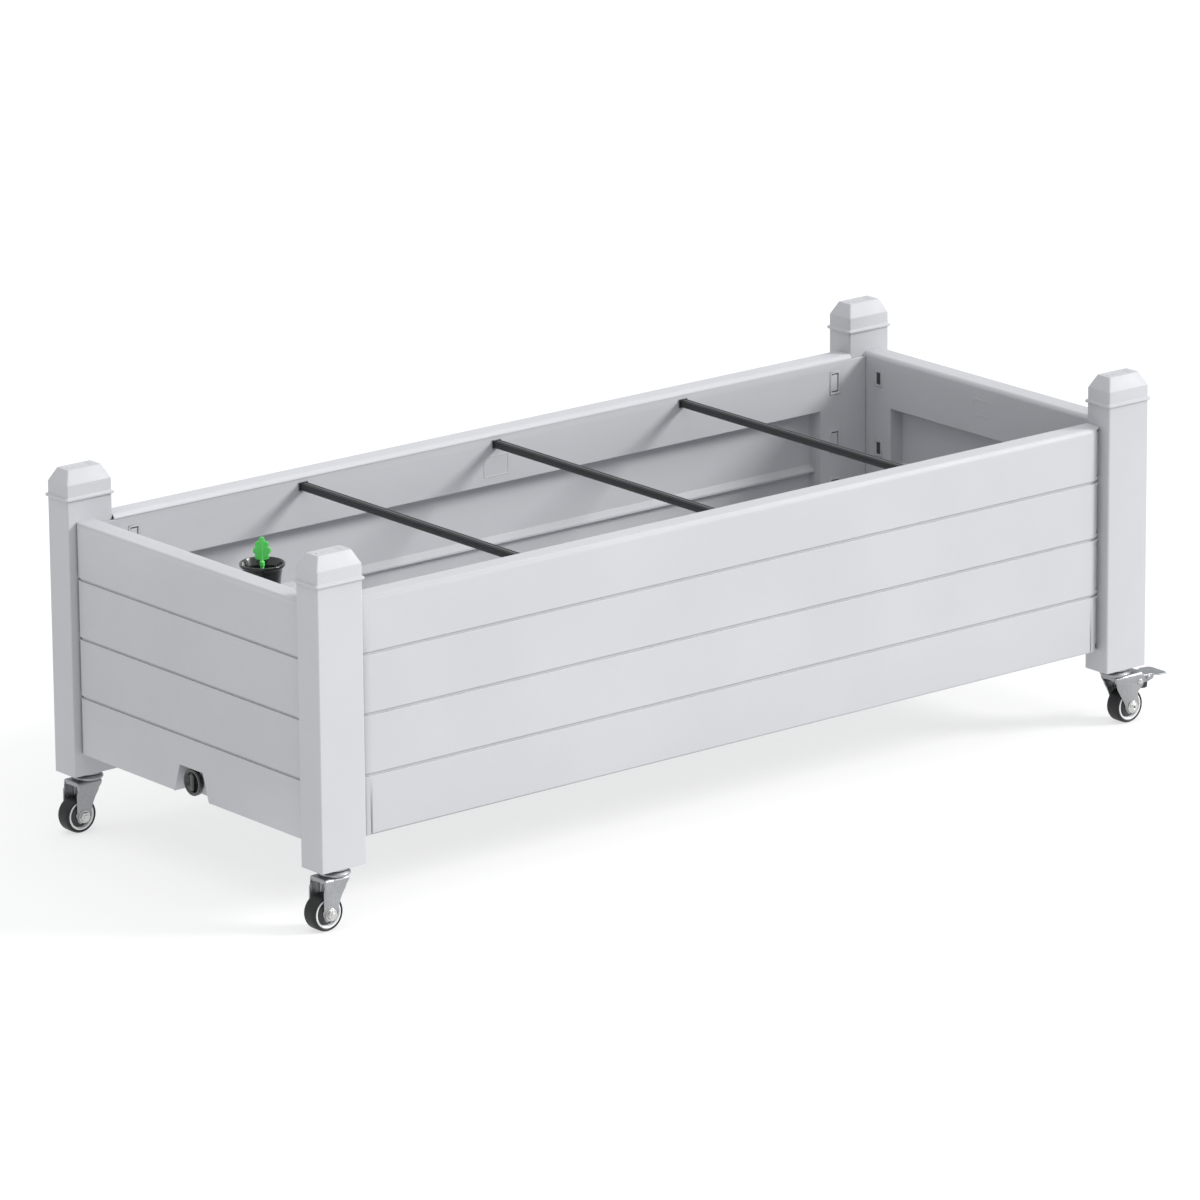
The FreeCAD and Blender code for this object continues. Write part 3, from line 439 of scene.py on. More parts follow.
def join_rings(bm, low, high):
    """Faces between two rings, either of which may be a single point."""
    if len(low) == 1 and len(high) == 1:
        return
    count = max(len(low), len(high))
    for k in range(count):
        n = (k + 1) % count
        corners = []
        for ring, index in ((low, k), (low, n), (high, n), (high, k)):
            vert = ring[index] if len(ring) > 1 else ring[0]
            if vert not in corners:
                corners.append(vert)
        bm.faces.new(corners)


def rounded_rectangle(half_x, half_y, radius, steps=6):
    """The outline of a rectangle about the origin with rounded corners."""
    corners = [(-half_x, -half_y), (half_x, -half_y), (half_x, half_y), (-half_x, half_y)]
    return filleted_loop([(x, y, radius) for x, y in corners], steps)


def lofted(name, rings):
    """A closed skin over rings of points (in millimetres) that all have the same count."""
    bm = bmesh.new()
    made = [[bm.verts.new(Vector(p) * MM) for p in ring] for ring in rings]
    for low, high in zip(made, made[1:]):
        join_rings(bm, low, high)
    bm.faces.new(list(reversed(made[0])))
    bm.faces.new(made[-1])
    return object_from(bm, name)


def swept_plate(name, outline, thickness, to_world):
    """A plate from a flat outline; to_world turns (u, v, depth) in millimetres into a point."""
    bm = bmesh.new()
    front = [bm.verts.new(Vector(to_world(p.x, p.y, 0.0)) * MM) for p in outline]
    behind = [bm.verts.new(Vector(to_world(p.x, p.y, thickness)) * MM) for p in outline]
    bm.faces.new(front)
    bm.faces.new(list(reversed(behind)))
    count = len(outline)
    for k in range(count):
        n = (k + 1) % count
        bm.faces.new((front[k], behind[k], behind[n], front[n]))
    return object_from(bm, name)


def joined(name, pieces):
    """One object from several, with their modifiers applied."""
    bm = bmesh.new()
    graph = bpy.context.evaluated_depsgraph_get()
    for piece in pieces:
        graph.update()
        mesh = bpy.data.meshes.new_from_object(piece.evaluated_get(graph))
        mesh.transform(piece.matrix_world)
        bm.from_mesh(mesh)
        bpy.data.meshes.remove(mesh)
        bpy.data.objects.remove(piece)
    return object_from(bm, name)


def carved(obj, cutters):
    """Cuts other objects out of a piece and removes them."""
    for cutter in cutters:
        cut = obj.modifiers.new("cut", "BOOLEAN")
        cut.object = cutter
        cut.solver = "EXACT"
    graph = bpy.context.evaluated_depsgraph_get()
    graph.update()
    mesh = bpy.data.meshes.new_from_object(obj.evaluated_get(graph))
    obj.modifiers.clear()
    obj.data = mesh
    mesh.shade_smooth()
    mesh.set_sharp_from_angle(angle=math.radians(35.0))
    for cutter in cutters:
        bpy.data.objects.remove(cutter)
    return obj


SHARP_ANGLE = 30.0
WELD = 0.00001
SMALL_HOLE_EDGE = 0.004


def softened(node, width, segments=3, shortest=0.0, slot=None):
    """A copy of a CAD node with rounded edges, which stands for the node.

    Edges shorter than the shortest length, such as those of small holes, stay as they are.
    """
    bm = bmesh.new()
    bm.from_mesh(NODES[node].data)
    bmesh.ops.remove_doubles(bm, verts=bm.verts, dist=WELD)
    bmesh.ops.dissolve_limit(bm, angle_limit=math.radians(0.5), verts=bm.verts, edges=bm.edges)
    weights = bm.edges.layers.float.new("bevel_weight_edge")
    for edge in bm.edges:
        sharp = len(edge.link_faces) == 2 and edge.calc_face_angle(0.0) > math.radians(SHARP_ANGLE)
        if sharp and edge.calc_length() > shortest:
            edge[weights] = 1.0
    piece = object_from(bm, node + "_shell", SHARP_ANGLE)
    round_edges(piece, width, segments).modifiers["round_edges"].limit_method = "WEIGHT"
    return place_piece(piece, body_of(node), slot or slot_of(node), node)


# ------------------------------------------------------------------ box

def add_box():
    """Panels, posts, inserts, tray, platform and baskets, all with softened edges."""
    for node in ("front_panel", "back_panel", "right_end_panel"):
        softened(node, width=0.0008, segments=3, shortest=SMALL_HOLE_EDGE)
    softened("left_end_panel", width=0.0004, segments=2, shortest=SMALL_HOLE_EDGE)
    add_window_shadow_plates()
    add_panel_marks()
    for corner in CORNERS:
        softened("corner_post_" + corner, width=0.0006, segments=2)
    softened("foot_inserts", width=0.0006, segments=2)
    softened("reservoir_tray", width=0.0008, segments=2)
    softened("soil_platform", width=0.0005, segments=2)
    softened("platform_legs", width=0.0005, segments=2)
    for side in ("left", "right"):
        softened("wick_basket_" + side, width=0.0005, segments=2)


END_WINDOW_Y = 221.5
END_WINDOW_Z = (409.0, 304.5, 200.0)
END_WINDOW_HALF = (4.3, 8.8)
SHADOW_PLATE_PROUD = 0.05
# depth and inset of each layer of a window shadow plate
SHADOW_PLATE_LAYERS = ((0.0, 0.4), (0.2, 0.1), (0.5, 0.0), (0.9, 0.0))
PANEL_THICKNESS = 36.8
BACK_MARK_HALF = (21.5, 14.5)
BACK_MARK_X, BACK_MARK_Z = -0.5, 395.5
END_MARK_HALF = (19.0, 11.5)
END_MARK_Y, END_MARK_Z = -3.0, 409.5
# inset and height across the bead of a mark
MARK_BEAD = ((-0.9, -0.2), (-0.7, 0.25), (-0.3, 0.4), (0.3, 0.4), (0.7, 0.25), (0.9, -0.2))
MARK_CORNER = 2.5


def end_inner_wall(side):
    """X of an end panel's inner face: its outer face less the panel's thickness."""
    low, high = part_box("left_end_panel" if side < 0 else "right_end_panel")
    outer = (low.x if side < 0 else high.x) / MM
    return outer - side * PANEL_THICKNESS


def add_window_shadow_plates():
    """Dark plates behind the end panels' windows: painted shadow that makes the window openings look black."""
    for side, node in ((-1, "left_end_panel"), (1, "right_end_panel")):
        inner = end_inner_wall(side) - side * SHADOW_PLATE_PROUD
        shadow_plates = []
        for sy in (-1, 1):
            for z in END_WINDOW_Z:
                rings = []
                for depth, inset in SHADOW_PLATE_LAYERS:
                    half_y, half_z = END_WINDOW_HALF[0] - inset, END_WINDOW_HALF[1] - inset
                    x, y = inner + side * depth, sy * END_WINDOW_Y
                    rings.append([(x, y + p.x, z + p.y) for p in rounded_rectangle(half_y, half_z, 0.8, 3)])
                shadow_plates.append(lofted("shadow_plate", rings))
        # painted shadow: these dark plates take the basket material so that the windows look black
        place_piece(joined(node + "_window_shadow_plates", shadow_plates), "planter", "basket_resin", node)


def add_panel_marks():
    """Faint raised frames on the inner walls of the back panel and the right end panel."""
    back_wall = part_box("back_panel")[1].y / MM - PANEL_THICKNESS
    back = swept_frame(
        "back_panel_mark", *BACK_MARK_HALF, lambda u, v, d: (BACK_MARK_X + u, back_wall - d, BACK_MARK_Z + v))
    place_piece(back, "planter", "pale_resin", "back_panel")
    end_wall = end_inner_wall(1)
    end = swept_frame(
        "right_end_panel_mark", *END_MARK_HALF,
        lambda u, v, d: (end_wall - d, END_MARK_Y + u, END_MARK_Z + v))
    place_piece(end, "planter", "pale_resin", "right_end_panel")


def swept_frame(name, half_u, half_v, to_world):
    """A low rounded bead round a rectangle; to_world turns (u, v, height) into a point."""
    rings = []
    for inset, height in MARK_BEAD:
        ring = rounded_rectangle(half_u - inset, half_v - inset, MARK_CORNER - inset, 5)
        rings.append([to_world(p.x, p.y, height) for p in ring])
    rings.append(rings[0])
    bm = bmesh.new()
    made = [[bm.verts.new(Vector(p) * MM) for p in ring] for ring in rings]
    for low, high in zip(made, made[1:]):
        join_rings(bm, low, high)
    bmesh.ops.remove_doubles(bm, verts=bm.verts, dist=WELD)
    return object_from(bm, name, 60.0)


def add_caps():
    for corner in CORNERS:
        add_cap(corner)


CAP_LIP_OUT = 3.0
CAP_LIP_HEIGHT = 4.0
CAP_ROOF_HEIGHT = 18.6
CAP_FLAT_HALF = (27.5, 12.75)
CAP_MARK_HALF = (15.0, 6.5)
CAP_DIMPLE_X = 20.5


def add_cap(corner):
    """A moulded cap: rounded lip, upright band, sloped roof and a shallow framed mark."""
    node = "post_cap_" + corner
    low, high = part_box(node)
    centre = (low + high) / 2 / MM
    lip_x, lip_y = (high.x - low.x) / 2 / MM, (high.y - low.y) / 2 / MM
    post_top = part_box("corner_post_" + corner)[1].z / MM
    top = high.z / MM
    lip_top = post_top + CAP_LIP_HEIGHT
    band_x, band_y = lip_x - CAP_LIP_OUT, lip_y - CAP_LIP_OUT
    roof_low = top - CAP_ROOF_HEIGHT
    flat_x, flat_y = CAP_FLAT_HALF
    mark_x, mark_y = CAP_MARK_HALF
    # half x, half y, corner radius, z
    levels = [
        (band_x - 4, band_y - 4, 2.0, post_top),
        (lip_x - 1.2, lip_y - 1.2, 2.6, post_top),
        (lip_x - 0.35, lip_y - 0.35, 3.2, post_top + 0.35),
        (lip_x, lip_y, 3.4, post_top + 1.2),
        (lip_x, lip_y, 3.4, lip_top - 1.3),
        (lip_x - 0.4, lip_y - 0.4, 3.2, lip_top - 0.4),
        (lip_x - 1.4, lip_y - 1.4, 2.6, lip_top),
        (band_x + 0.8, band_y + 0.8, 2.6, lip_top + 0.15),
        (band_x + 0.2, band_y + 0.2, 2.5, lip_top + 0.8),
        (band_x, band_y, 2.5, lip_top + 1.6),
        (band_x, band_y, 2.5, roof_low - 0.8),
        (band_x - 0.15, band_y - 0.15, 2.5, roof_low),
        (band_x - 0.75, band_y - 0.75, 2.5, roof_low + 1.1),
        (flat_x + 0.8, flat_y + 0.8, 2.2, top - 1.1),
        (flat_x + 0.1, flat_y + 0.1, 2.0, top - 0.25),
        (flat_x - 0.9, flat_y - 0.9, 1.8, top),
        (mark_x + 1.0, mark_y + 1.0, 3.6, top),
        (mark_x + 0.6, mark_y + 0.6, 3.4, top - 0.1),
        (mark_x, mark_y, 3.0, top - 0.5),
        (mark_x - 2.6, mark_y - 1.9, 2.2, top - 0.5),
        (mark_x - 3.0, mark_y - 2.3, 2.0, top - 0.35),
        (mark_x - 4.2, mark_y - 3.4, 1.2, top - 0.15),
    ]
    rings = []
    for half_x, half_y, radius, z in levels:
        ring = rounded_rectangle(half_x, half_y, radius, 5)
        rings.append([(centre.x + p.x, centre.y + p.y, z) for p in ring])
    cap = lofted(node + "_shell", rings)
    dimple = spun("dimple", [(0, -1.6, 0), (1.5, -1.3, 0.5), (1.9, 0.5, 0), (1.9, 2, 0), (0, 2, 0)], 32)
    dimple.matrix_world = Matrix.Translation(Vector((centre.x - CAP_DIMPLE_X, centre.y, top)) * MM)
    carved(cap, [dimple])
    place_piece(cap, body_of(node), slot_of(node), node)


def add_tie_bars():
    for side in ("left", "middle", "right"):
        add_tie_bar("tie_bar_" + side)
    softened("tie_bar_brackets", width=0.0005, segments=2)
    softened("tie_bar_screws", width=0.0002, segments=2)


def add_tie_bar(node):
    """A channel bar: a raised band on its top, a lip along each edge and a ridge down each side."""
    low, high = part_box(node)
    x = (low.x + high.x) / 2 / MM
    w, h = (high.x - low.x) / 2 / MM, (high.z - low.z) / MM
    bottom = low.z / MM
    roof = h - 2.4
    right = [
        (w - 1.4, 0, 0.3), (w - 0.9, 0, 0.3), (w - 0.9, 2.9, 0.15), (w, 3.5, 0.3), (w - 0.35, 7.4, 0.2),
        (w - 0.8, 7.6, 0.1), (w - 0.8, 8.4, 0.1), (w, 8.6, 0.15), (w, h - 0.2, 0.25),
        (w - 1.0, h - 0.2, 0.25), (w - 1.2, h - 1.0, 0.2), (w - 3.0, h - 1.0, 0.2), (w - 3.2, h, 0.3),
    ]
    left = [(-u, v, r) for u, v, r in reversed(right)]
    inside = [(-w + 1.4, roof, 0.4), (w - 1.4, roof, 0.4)]
    section = filleted_loop(right + left + inside, 3)
    rings = []
    for y in (low.y / MM, low.y / MM + 0.4, high.y / MM - 0.4, high.y / MM):
        rings.append([(x + p.x, y, bottom + p.y) for p in section])
    bar = lofted(node + "_shell", rings)
    place_piece(bar, body_of(node), slot_of(node), node)


# ------------------------------------------------------------------ fill tube, float and drain plug

def add_fill_tube():
    """The funnel-topped tube: rolled rim, tapered cup, straight tube with four foot slots."""
    low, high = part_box("fill_tube")
    x = (low.x + high.x) / 2
    rim, top, foot = (high.x - low.x) / 2 / MM, high.z / MM, low.z / MM
    outline = [
        (22.0, foot, 0.4), (22.0, 372.0, 12), (27.2, 413.4, 1.0), (rim - 0.2, top - 4.2, 1.0),
        (rim, top, 1.1),
        (rim - 2.2, top, 1.0), (rim - 3.6, top - 3.4, 1.2), (24.7, 410.0, 4), (19.5, 372.0, 12),
        (19.5, foot, 0.4),
    ]
    tube = spun("fill_tube_shell", outline, 96, closed=True)
    tube.matrix_world = Matrix.Translation((x, 0, 0))
    cutters = []
    for index, (half_x, half_y) in enumerate(((26, 4), (4, 26))):
        ring = rounded_rectangle(half_x, half_y, 1.0, 3)
        rings = [[(x / MM + p.x, p.y, z) for p in ring] for z in (foot - 5, foot + 24)]
        cutters.append(lofted("slot_%d" % index, rings))
    carved(tube, cutters)
    guide_z = foot + 70
    arms = []
    for index, (half_x, half_y) in enumerate(((19.8, 1.5), (1.5, 19.8))):
        rings = [
            [(x / MM + p.x, p.y, z) for p in rounded_rectangle(half_x, half_y, 0.5, 2)]
            for z in (guide_z, guide_z + 3)
        ]
        arms.append(lofted("arm_%d" % index, rings))
    bore_r, ring_r = 2.8, 6
    ring = spun("guide_ring", [
        (bore_r, guide_z, 0.3), (ring_r, guide_z, 0.4), (ring_r, guide_z + 3, 0.4),
        (bore_r, guide_z + 3, 0.3),
    ], 48, closed=True)
    ring.matrix_world = Matrix.Translation((x, 0, 0))
    bore = spun("bore", [
        (0, guide_z - 2, 0), (bore_r, guide_z - 2, 0), (bore_r, guide_z + 6, 0), (0, guide_z + 6, 0),
    ], 48)
    bore.matrix_world = Matrix.Translation((x, 0, 0))
    guide = joined("guide", [carved(joined("arms", arms), [bore]), ring])
    whole = joined("fill_tube_shell", [tube, guide])
    place_piece(whole, body_of("fill_tube"), slot_of("fill_tube"), "fill_tube")


# offset from the midrib, height and radius of each round lobe
LEAF_LOBES = (
    (0.0, 451.5, 4.0), (5.0, 445.0, 4.5), (7.0, 436.5, 5.2), (5.5, 428.0, 4.6), (0.0, 440.0, 6.5),
    (0.0, 431.0, 5.5),
)


def leaf_half_width(z):
    """Half width of the leaf's outline at a height, over all its round lobes."""
    widest = 1.5
    for u, centre, radius in LEAF_LOBES:
        if abs(z - centre) < radius:
            widest = max(widest, u + math.sqrt(radius ** 2 - (z - centre) ** 2))
    return widest


def add_leaf():
    """The float's leaf: a crowned, lobed blade with a midrib and side veins, on a round stem."""
    low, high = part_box("float_leaf")
    x = (low.x + high.x) / 2 / MM
    turn = Matrix.Rotation(math.radians(-39.0), 3, "Z")
    foot, tip = 422.6, 455.3
    rows, columns = 90, 28
    bm = bmesh.new()
    grids = []
    for face in (-1, 1):
        grid = []
        for i in range(rows + 1):
            z = foot + (tip - foot) * i / rows
            half = max(leaf_half_width(z) - 0.1, 0.3)
            row = []
            for j in range(columns + 1):
                t = -1 + 2 * j / columns
                u = t * half
                edge = math.sqrt(max(0.0, 1 - abs(t) ** 6))
                rib = 0.55 * math.exp(-(u / 0.9) ** 2)
                wave = math.cos((z - 0.75 * abs(u)) * 2 * math.pi / 4.3)
                vein = 0.28 * max(0.0, wave) ** 3 * min(1.0, abs(u) / 2)
                depth = (0.75 + rib + vein * (1 - abs(t)) + 0.2 * (1 - t * t)) * edge
                point = turn @ Vector((u, face * min(depth, 1.5), 0))
                row.append(bm.verts.new((Vector((x, 0, z)) + point) * MM))
            grid.append(row)
        grids.append(grid)
    for grid in grids:
        for i in range(rows):
            for j in range(columns):
                bm.faces.new((grid[i][j], grid[i][j + 1], grid[i + 1][j + 1], grid[i + 1][j]))
    front, back = grids
    for a, b in ((0, 0), (rows, rows)):
        for j in range(columns):
            bm.faces.new((front[a][j], front[a][j + 1], back[b][j + 1], back[b][j]))
    bmesh.ops.remove_doubles(bm, verts=bm.verts, dist=0.00002)
    blade = object_from(bm, "leaf_blade", 50.0)
    stem_foot = low.z / MM
    stem = spun("leaf_stem", [
        (2.55, stem_foot, 0.3), (3.4, stem_foot, 0.5), (3.4, stem_foot + 6, 1.0), (1.9, stem_foot + 8, 1.0),
        (1.5, 429, 0.5), (0, 430, 0),
    ], 32)
    stem.matrix_world = Matrix.Translation((x * MM, 0, 0))
    leaf = joined("float_leaf_blade", [blade, stem])
    place_piece(leaf, body_of("float_leaf"), slot_of("float_leaf"), "float_leaf")


def add_float():
    softened("float_body", width=0.0010, segments=3)
    softened("float_rod", width=0.0003, segments=2, slot="green_resin")
    add_leaf()


def add_drain():
    """The screw plug: rim bead, dished face and a raised oval grip; the shank behind it."""
    low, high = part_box("drain_plug")
    radius = (high.z - low.z) / 2 / MM
    z = (high.z + low.z) / 2
    outline = [
        (0, 5.2, 0), (12.0, 5.2, 1.5), (14.0, 1.6, 1.2), (15.2, 0.3, 0.8), (17.4, 0, 1.0),
        (radius, 1.2, 1.2),
        (radius, 6.4, 1.0), (radius - 1.4, 8.0, 0.8), (10.0, 8.0, 0.3),
    ]
    turns = []
    for k in range(7):
        for thread_r, depth in ((10.0, 9.5), (9.0, 10.3), (9.0, 11.3), (10.0, 12.0)):
            turns.append((thread_r, depth + 3 * k, 0.3))
    outline += turns + [(9.2, 31.5, 0.5), (0, 32.0, 0)]
    disc = spun("plug_disc", outline, 96, axis="X")
    disc.matrix_world = Matrix.Translation((low.x, 0, z))
    rings = []
    # depth, half width and half height of the grip's sections
    sections = ((6.0, 4.6, 12.4), (3.0, 4.3, 12.3), (1.2, 3.7, 11.8), (0.5, 2.7, 10.8), (0.3, 1.4, 9.4))
    for depth, half_y, half_z in sections:
        ring = rounded_rectangle(half_y, half_z, half_y * 0.96, 6)
        rings.append([(low.x / MM + depth, p.x, z / MM + p.y) for p in ring])
    grip = lofted("plug_grip", rings)
    plug = joined("drain_plug_body", [disc, grip])
    place_piece(plug, body_of("drain_plug"), slot_of("drain_plug"), "drain_plug")
    softened("drain_gasket", width=0.0003, segments=2)


# ------------------------------------------------------------------ casters

AXLE_X = 19.0            # the axle behind the kingpin
WHEEL_R = 25.0
FORK_HALF = 17.5
CROWN_TOP = 74.0
SHEET = 2.5


def cheek_edges(z, braked):
    """The leading and trailing edges of the fork's cheek at a height."""
    boss = 9.6
    below = min(1.0, max(-1.0, (WHEEL_R - z) / boss))
    half = boss * math.sqrt(1 - below ** 2) if z < WHEEL_R else boss
    rise = min(1.0, max(0.0, (z - WHEEL_R) / 42.0))
    lead = AXLE_X - half - 22.5 * rise ** 1.25
    trail = AXLE_X + min(half, 9.0)
    if braked:
        ear = min(1.0, max(0.0, (z - 46.0) / 9.0))
        trail += 11.0 * ear * ear * (3 - 2 * ear)
    return lead, trail


def fork_rows(braked):
    """Rows over the fork from one axle boss, over the crown, to the other.

    Each row is (y, z, outward y, outward z, leading x, trailing x, depth of the turned edge).
    """
    bend = 5.0
    rows = []
    low, high = WHEEL_R - 9.0, CROWN_TOP - bend
    heights = [low + 0.15, low + 0.8, low + 2.0, low + 4.0, low + 6.5, WHEEL_R]
    steps = 14
    heights += [WHEEL_R + (high - WHEEL_R) * k / steps for k in range(1, steps + 1)]
    for z in heights:
        lead, trail = cheek_edges(z, braked)
        turn = 0.7 + 4.5 * min(1.0, max(0.0, (z - 58.0) / 12.0)) ** 1.5
        rows.append((-FORK_HALF, z, -1.0, 0.0, lead, trail, turn))
    lead, trail = cheek_edges(high, braked)
    for k in range(1, 6):
        angle = math.pi / 2 * k / 5
        y = -FORK_HALF + bend * (1 - math.cos(angle))
        z = high + bend * math.sin(angle)
        rows.append((y, z, -math.cos(angle), math.sin(angle), lead, trail, 5.2 + 0.5 * k))
    for k in range(1, 5):
        y = (-FORK_HALF + bend) * (1 - k / 4)
        rows.append((y, CROWN_TOP, 0.0, 1.0, lead, trail, 7.7 - 0.35 * k))
    mirrored = [(-y, z, -ny, *others) for y, z, ny, *others in reversed(rows[:-1])]
    return rows + mirrored


def make_fork(name, braked):
    """A pressed fork with a creased cheek and edges that turn in under the crown."""
    crease = AXLE_X - 6.5
    corner = 1.6
    eased = corner * 0.3
    bm = bmesh.new()
    grid = []
    for y, z, ny, nz, lead, trail, turn in fork_rows(braked):
        middle = min(max(crease, lead + 3.0), trail - 3.0)
        columns = [
            (lead, turn), (lead, turn * 0.55 + eased), (lead + eased, eased), (lead + corner, 0.0),
            (lead + (middle - lead) * 0.55, 0.0), (middle - 0.9, 0.0), (middle, 0.0), (middle + 0.9, 0.0),
            (middle + (trail - middle) * 0.5, 0.0), (trail - corner, 0.0), (trail - eased, eased),
            (trail, turn * 0.55 + eased), (trail, turn),
        ]
        row = []
        upright = abs(ny)
        fade = upright * min(1.0, max(0.0, (70.0 - z) / 22.0))
        for x, inward in columns:
            slant = 0.26 * max(0.0, crease - x) * fade
            groove = 0.8 * upright if x == middle else 0.0
            depth = inward + slant + groove
            row.append(bm.verts.new(Vector((x, y - ny * depth, z - nz * depth)) * MM))
        grid.append(row)
    for low, high in zip(grid, grid[1:]):
        for a, b, c, d in zip(low, low[1:], high[1:], high):
            bm.faces.new((a, b, c, d))
    fork = object_from(bm, name, 60.0)
    solid = fork.modifiers.new("sheet", "SOLIDIFY")
    solid.thickness = SHEET * MM * 0.92
    solid.offset = -1.0
    smooth = fork.modifiers.new("smooth", "SUBSURF")
    smooth.levels = 2
    smooth.render_levels = 2
    return fork


def make_race(name):
    """The ball race: a rolled, domed housing over the crown."""
    return spun(name, [
        (8.6, 74.1, 0.3), (21.0, 74.1, 0.4), (21.0, 74.9, 0.2), (22.0, 75.3, 0.7), (22.0, 77.6, 1.6),
        (19.0, 80.55, 2.6), (9.4, 80.55, 0.8), (8.6, 79.6, 0.6),
    ], 96, closed=True)


def make_stem(name):
    """The fixed stem with its pressed flange and riveted end."""
    return spun(name, [
        (0, 66.0, 0), (4.6, 66.0, 1.0), (7.6, 67.6, 1.0), (8.0, 70.1, 0.3), (5.0, 70.2, 0.2),
        (5.0, 80.9, 0.2),
        (7.5, 81.1, 0.4), (17.5, 81.1, 0.5), (20.0, 82.0, 0.8), (20.0, 84.95, 0.3), (5.0, 85.0, 0.2),
        (5.0, 110.6, 0.6), (3.9, 112.0, 0.4), (0, 112.0, 0),
    ], 72)


def make_axle(name):
    """The axle: domed head with a small recess in front, washers, and a hex nut behind."""
    shaft = spun("shaft", [
        (0, -18.9, 0), (1.4, -18.9, 0.2), (1.8, -20.9, 0.3), (3.2, -21.5, 0.9), (5.6, -20.6, 1.6),
        (6.6, -18.9, 0.4),
        (6.7, -18.4, 0.2), (8.8, -18.3, 0.3), (8.8, -17.5, 0.2), (4.0, -17.5, 0.1), (4.0, 17.5, 0.1),
        (8.8, 17.5, 0.2), (8.8, 18.3, 0.3), (4.0, 18.4, 0.1), (4.0, 23.0, 0.4), (3.3, 23.5, 0.2),
        (0, 23.5, 0),
    ], 64, axis="Y")
    nut_r = 7.5
    corners = []
    for degrees in range(0, 360, 60):
        angle = math.radians(degrees)
        corners.append((nut_r * math.cos(angle), nut_r * math.sin(angle), 0.5))
    rings = []
    for y, scale in ((18.35, 0.94), (18.7, 1.0), (21.6, 1.0), (22.3, 0.93)):
        rings.append([(p.x * scale, y, p.y * scale) for p in filleted_loop(corners, 3)])
    nut = lofted("nut", rings)
    return joined(name, [shaft, nut])


def make_wheel(prefix):
    """The wheel's three pieces round its axle: tyre, pale rim and dark thread guard."""
    tyre = spun(prefix + "tyre_tread", [
        (20.5, -9.5, 0.2), (20.6, -11.3, 0.5), (21.8, -12.0, 0.7), (23.3, -11.4, 1.6), (24.9, -8.4, 2.4),
        (24.75, -6.6, 0.15), (24.95, -6.2, 0.15), (25.0, 0, 8.0), (24.95, 6.2, 0.15), (24.75, 6.6, 0.15),
        (24.9, 8.4, 2.4), (23.3, 11.4, 1.6), (21.8, 12.0, 0.7), (20.6, 11.3, 0.5), (20.5, 9.5, 0.2),
    ], 128, axis="Y", closed=True)
    rim = spun(prefix + "hub_rim", [
        (20.5, -9.6, 0.1), (20.4, -11.2, 0.9), (18.9, -11.9, 1.1), (17.2, -10.6, 1.0), (16.4, -5.2, 0.6),
        (8.5, -4.0, 0.6), (7.6, -13.0, 0.5), (4.1, -13.5, 0.3), (4.1, 13.5, 0.3), (7.6, 13.0, 0.5),
        (8.5, 4.0, 0.6), (16.4, 5.2, 0.6), (17.2, 10.6, 1.0), (18.9, 11.9, 1.1), (20.4, 11.2, 0.9),
        (20.5, 9.6, 0.1),
    ], 128, axis="Y", closed=True)
    guards = []
    for side in (-1, 1):
        guards.append(spun("guard", [
            (8.2, side * 10.6, 0.4), (10.5, side * 10.2, 0.8), (13.2, side * 7.4, 1.5),
            (16.7, side * 6.6, 0.3),
            (16.4, side * 5.6, 0.2), (12.6, side * 6.2, 1.0), (9.8, side * 9.0, 0.8),
            (8.2, side * 9.4, 0.2),
        ], 96, axis="Y", closed=True))
    guard = joined(prefix + "hub_thread_guards", guards)
    return tyre, rim, guard


def make_rivet_head(name, radius, height, y, side):
    """A domed rivet head on a cheek, standing out along Y."""
    dome = spun(name, [
        (0, height, 0), (radius * 0.35, height * 0.96, 0.5), (radius * 0.75, height * 0.7, 0.8),
        (radius, height * 0.12, 0.3), (radius, 0, 0.1), (0, 0, 0),
    ], 40, axis="Y")
    if side < 0:
        dome.data.transform(Matrix.Rotation(math.pi, 4, "X"))
    dome.data.transform(Matrix.Translation(Vector((0, y, 0)) * MM))
    return dome


PIVOT = (33.0, 60.0)
LEVER_HALF = 14.6
LEVER_SHEET = 2.0


def lever_top(x):
    """Height of the lever's upper face: it slopes down slowly towards its lip."""
    return 69.5 - (x - 28.0) * 0.067


def make_lever(name):
    """The pressed pedal: two cheeks, a sloped top with a rib, and a flared rounded lip."""
    pieces = []
    cheek = filleted_loop([
        (28.2, 63.0, 1.5), (28.6, 67.6, 0.8), (62.0, 65.2, 0.8), (61.0, 59.0, 2.5), (52.0, 56.6, 3.0),
        (38.0, 54.6, 3.0), (29.5, 55.2, 3.5),
    ], 5)
    for side in (-1, 1):
        y = side * LEVER_HALF
        pieces.append(round_edges(
            swept_plate("cheek", cheek, LEVER_SHEET, lambda u, v, d, y=y, side=side: (u, y - side * d, v)),
            0.0004, 2))
        rivet = make_rivet_head("lever_rivet", 3.8, 2.2, y, side)
        rivet.data.transform(Matrix.Translation(Vector((51.0, 0, 62.2)) * MM))
        pieces.append(rivet)
    pieces.append(make_lip("lip"))
    return joined(name, pieces)


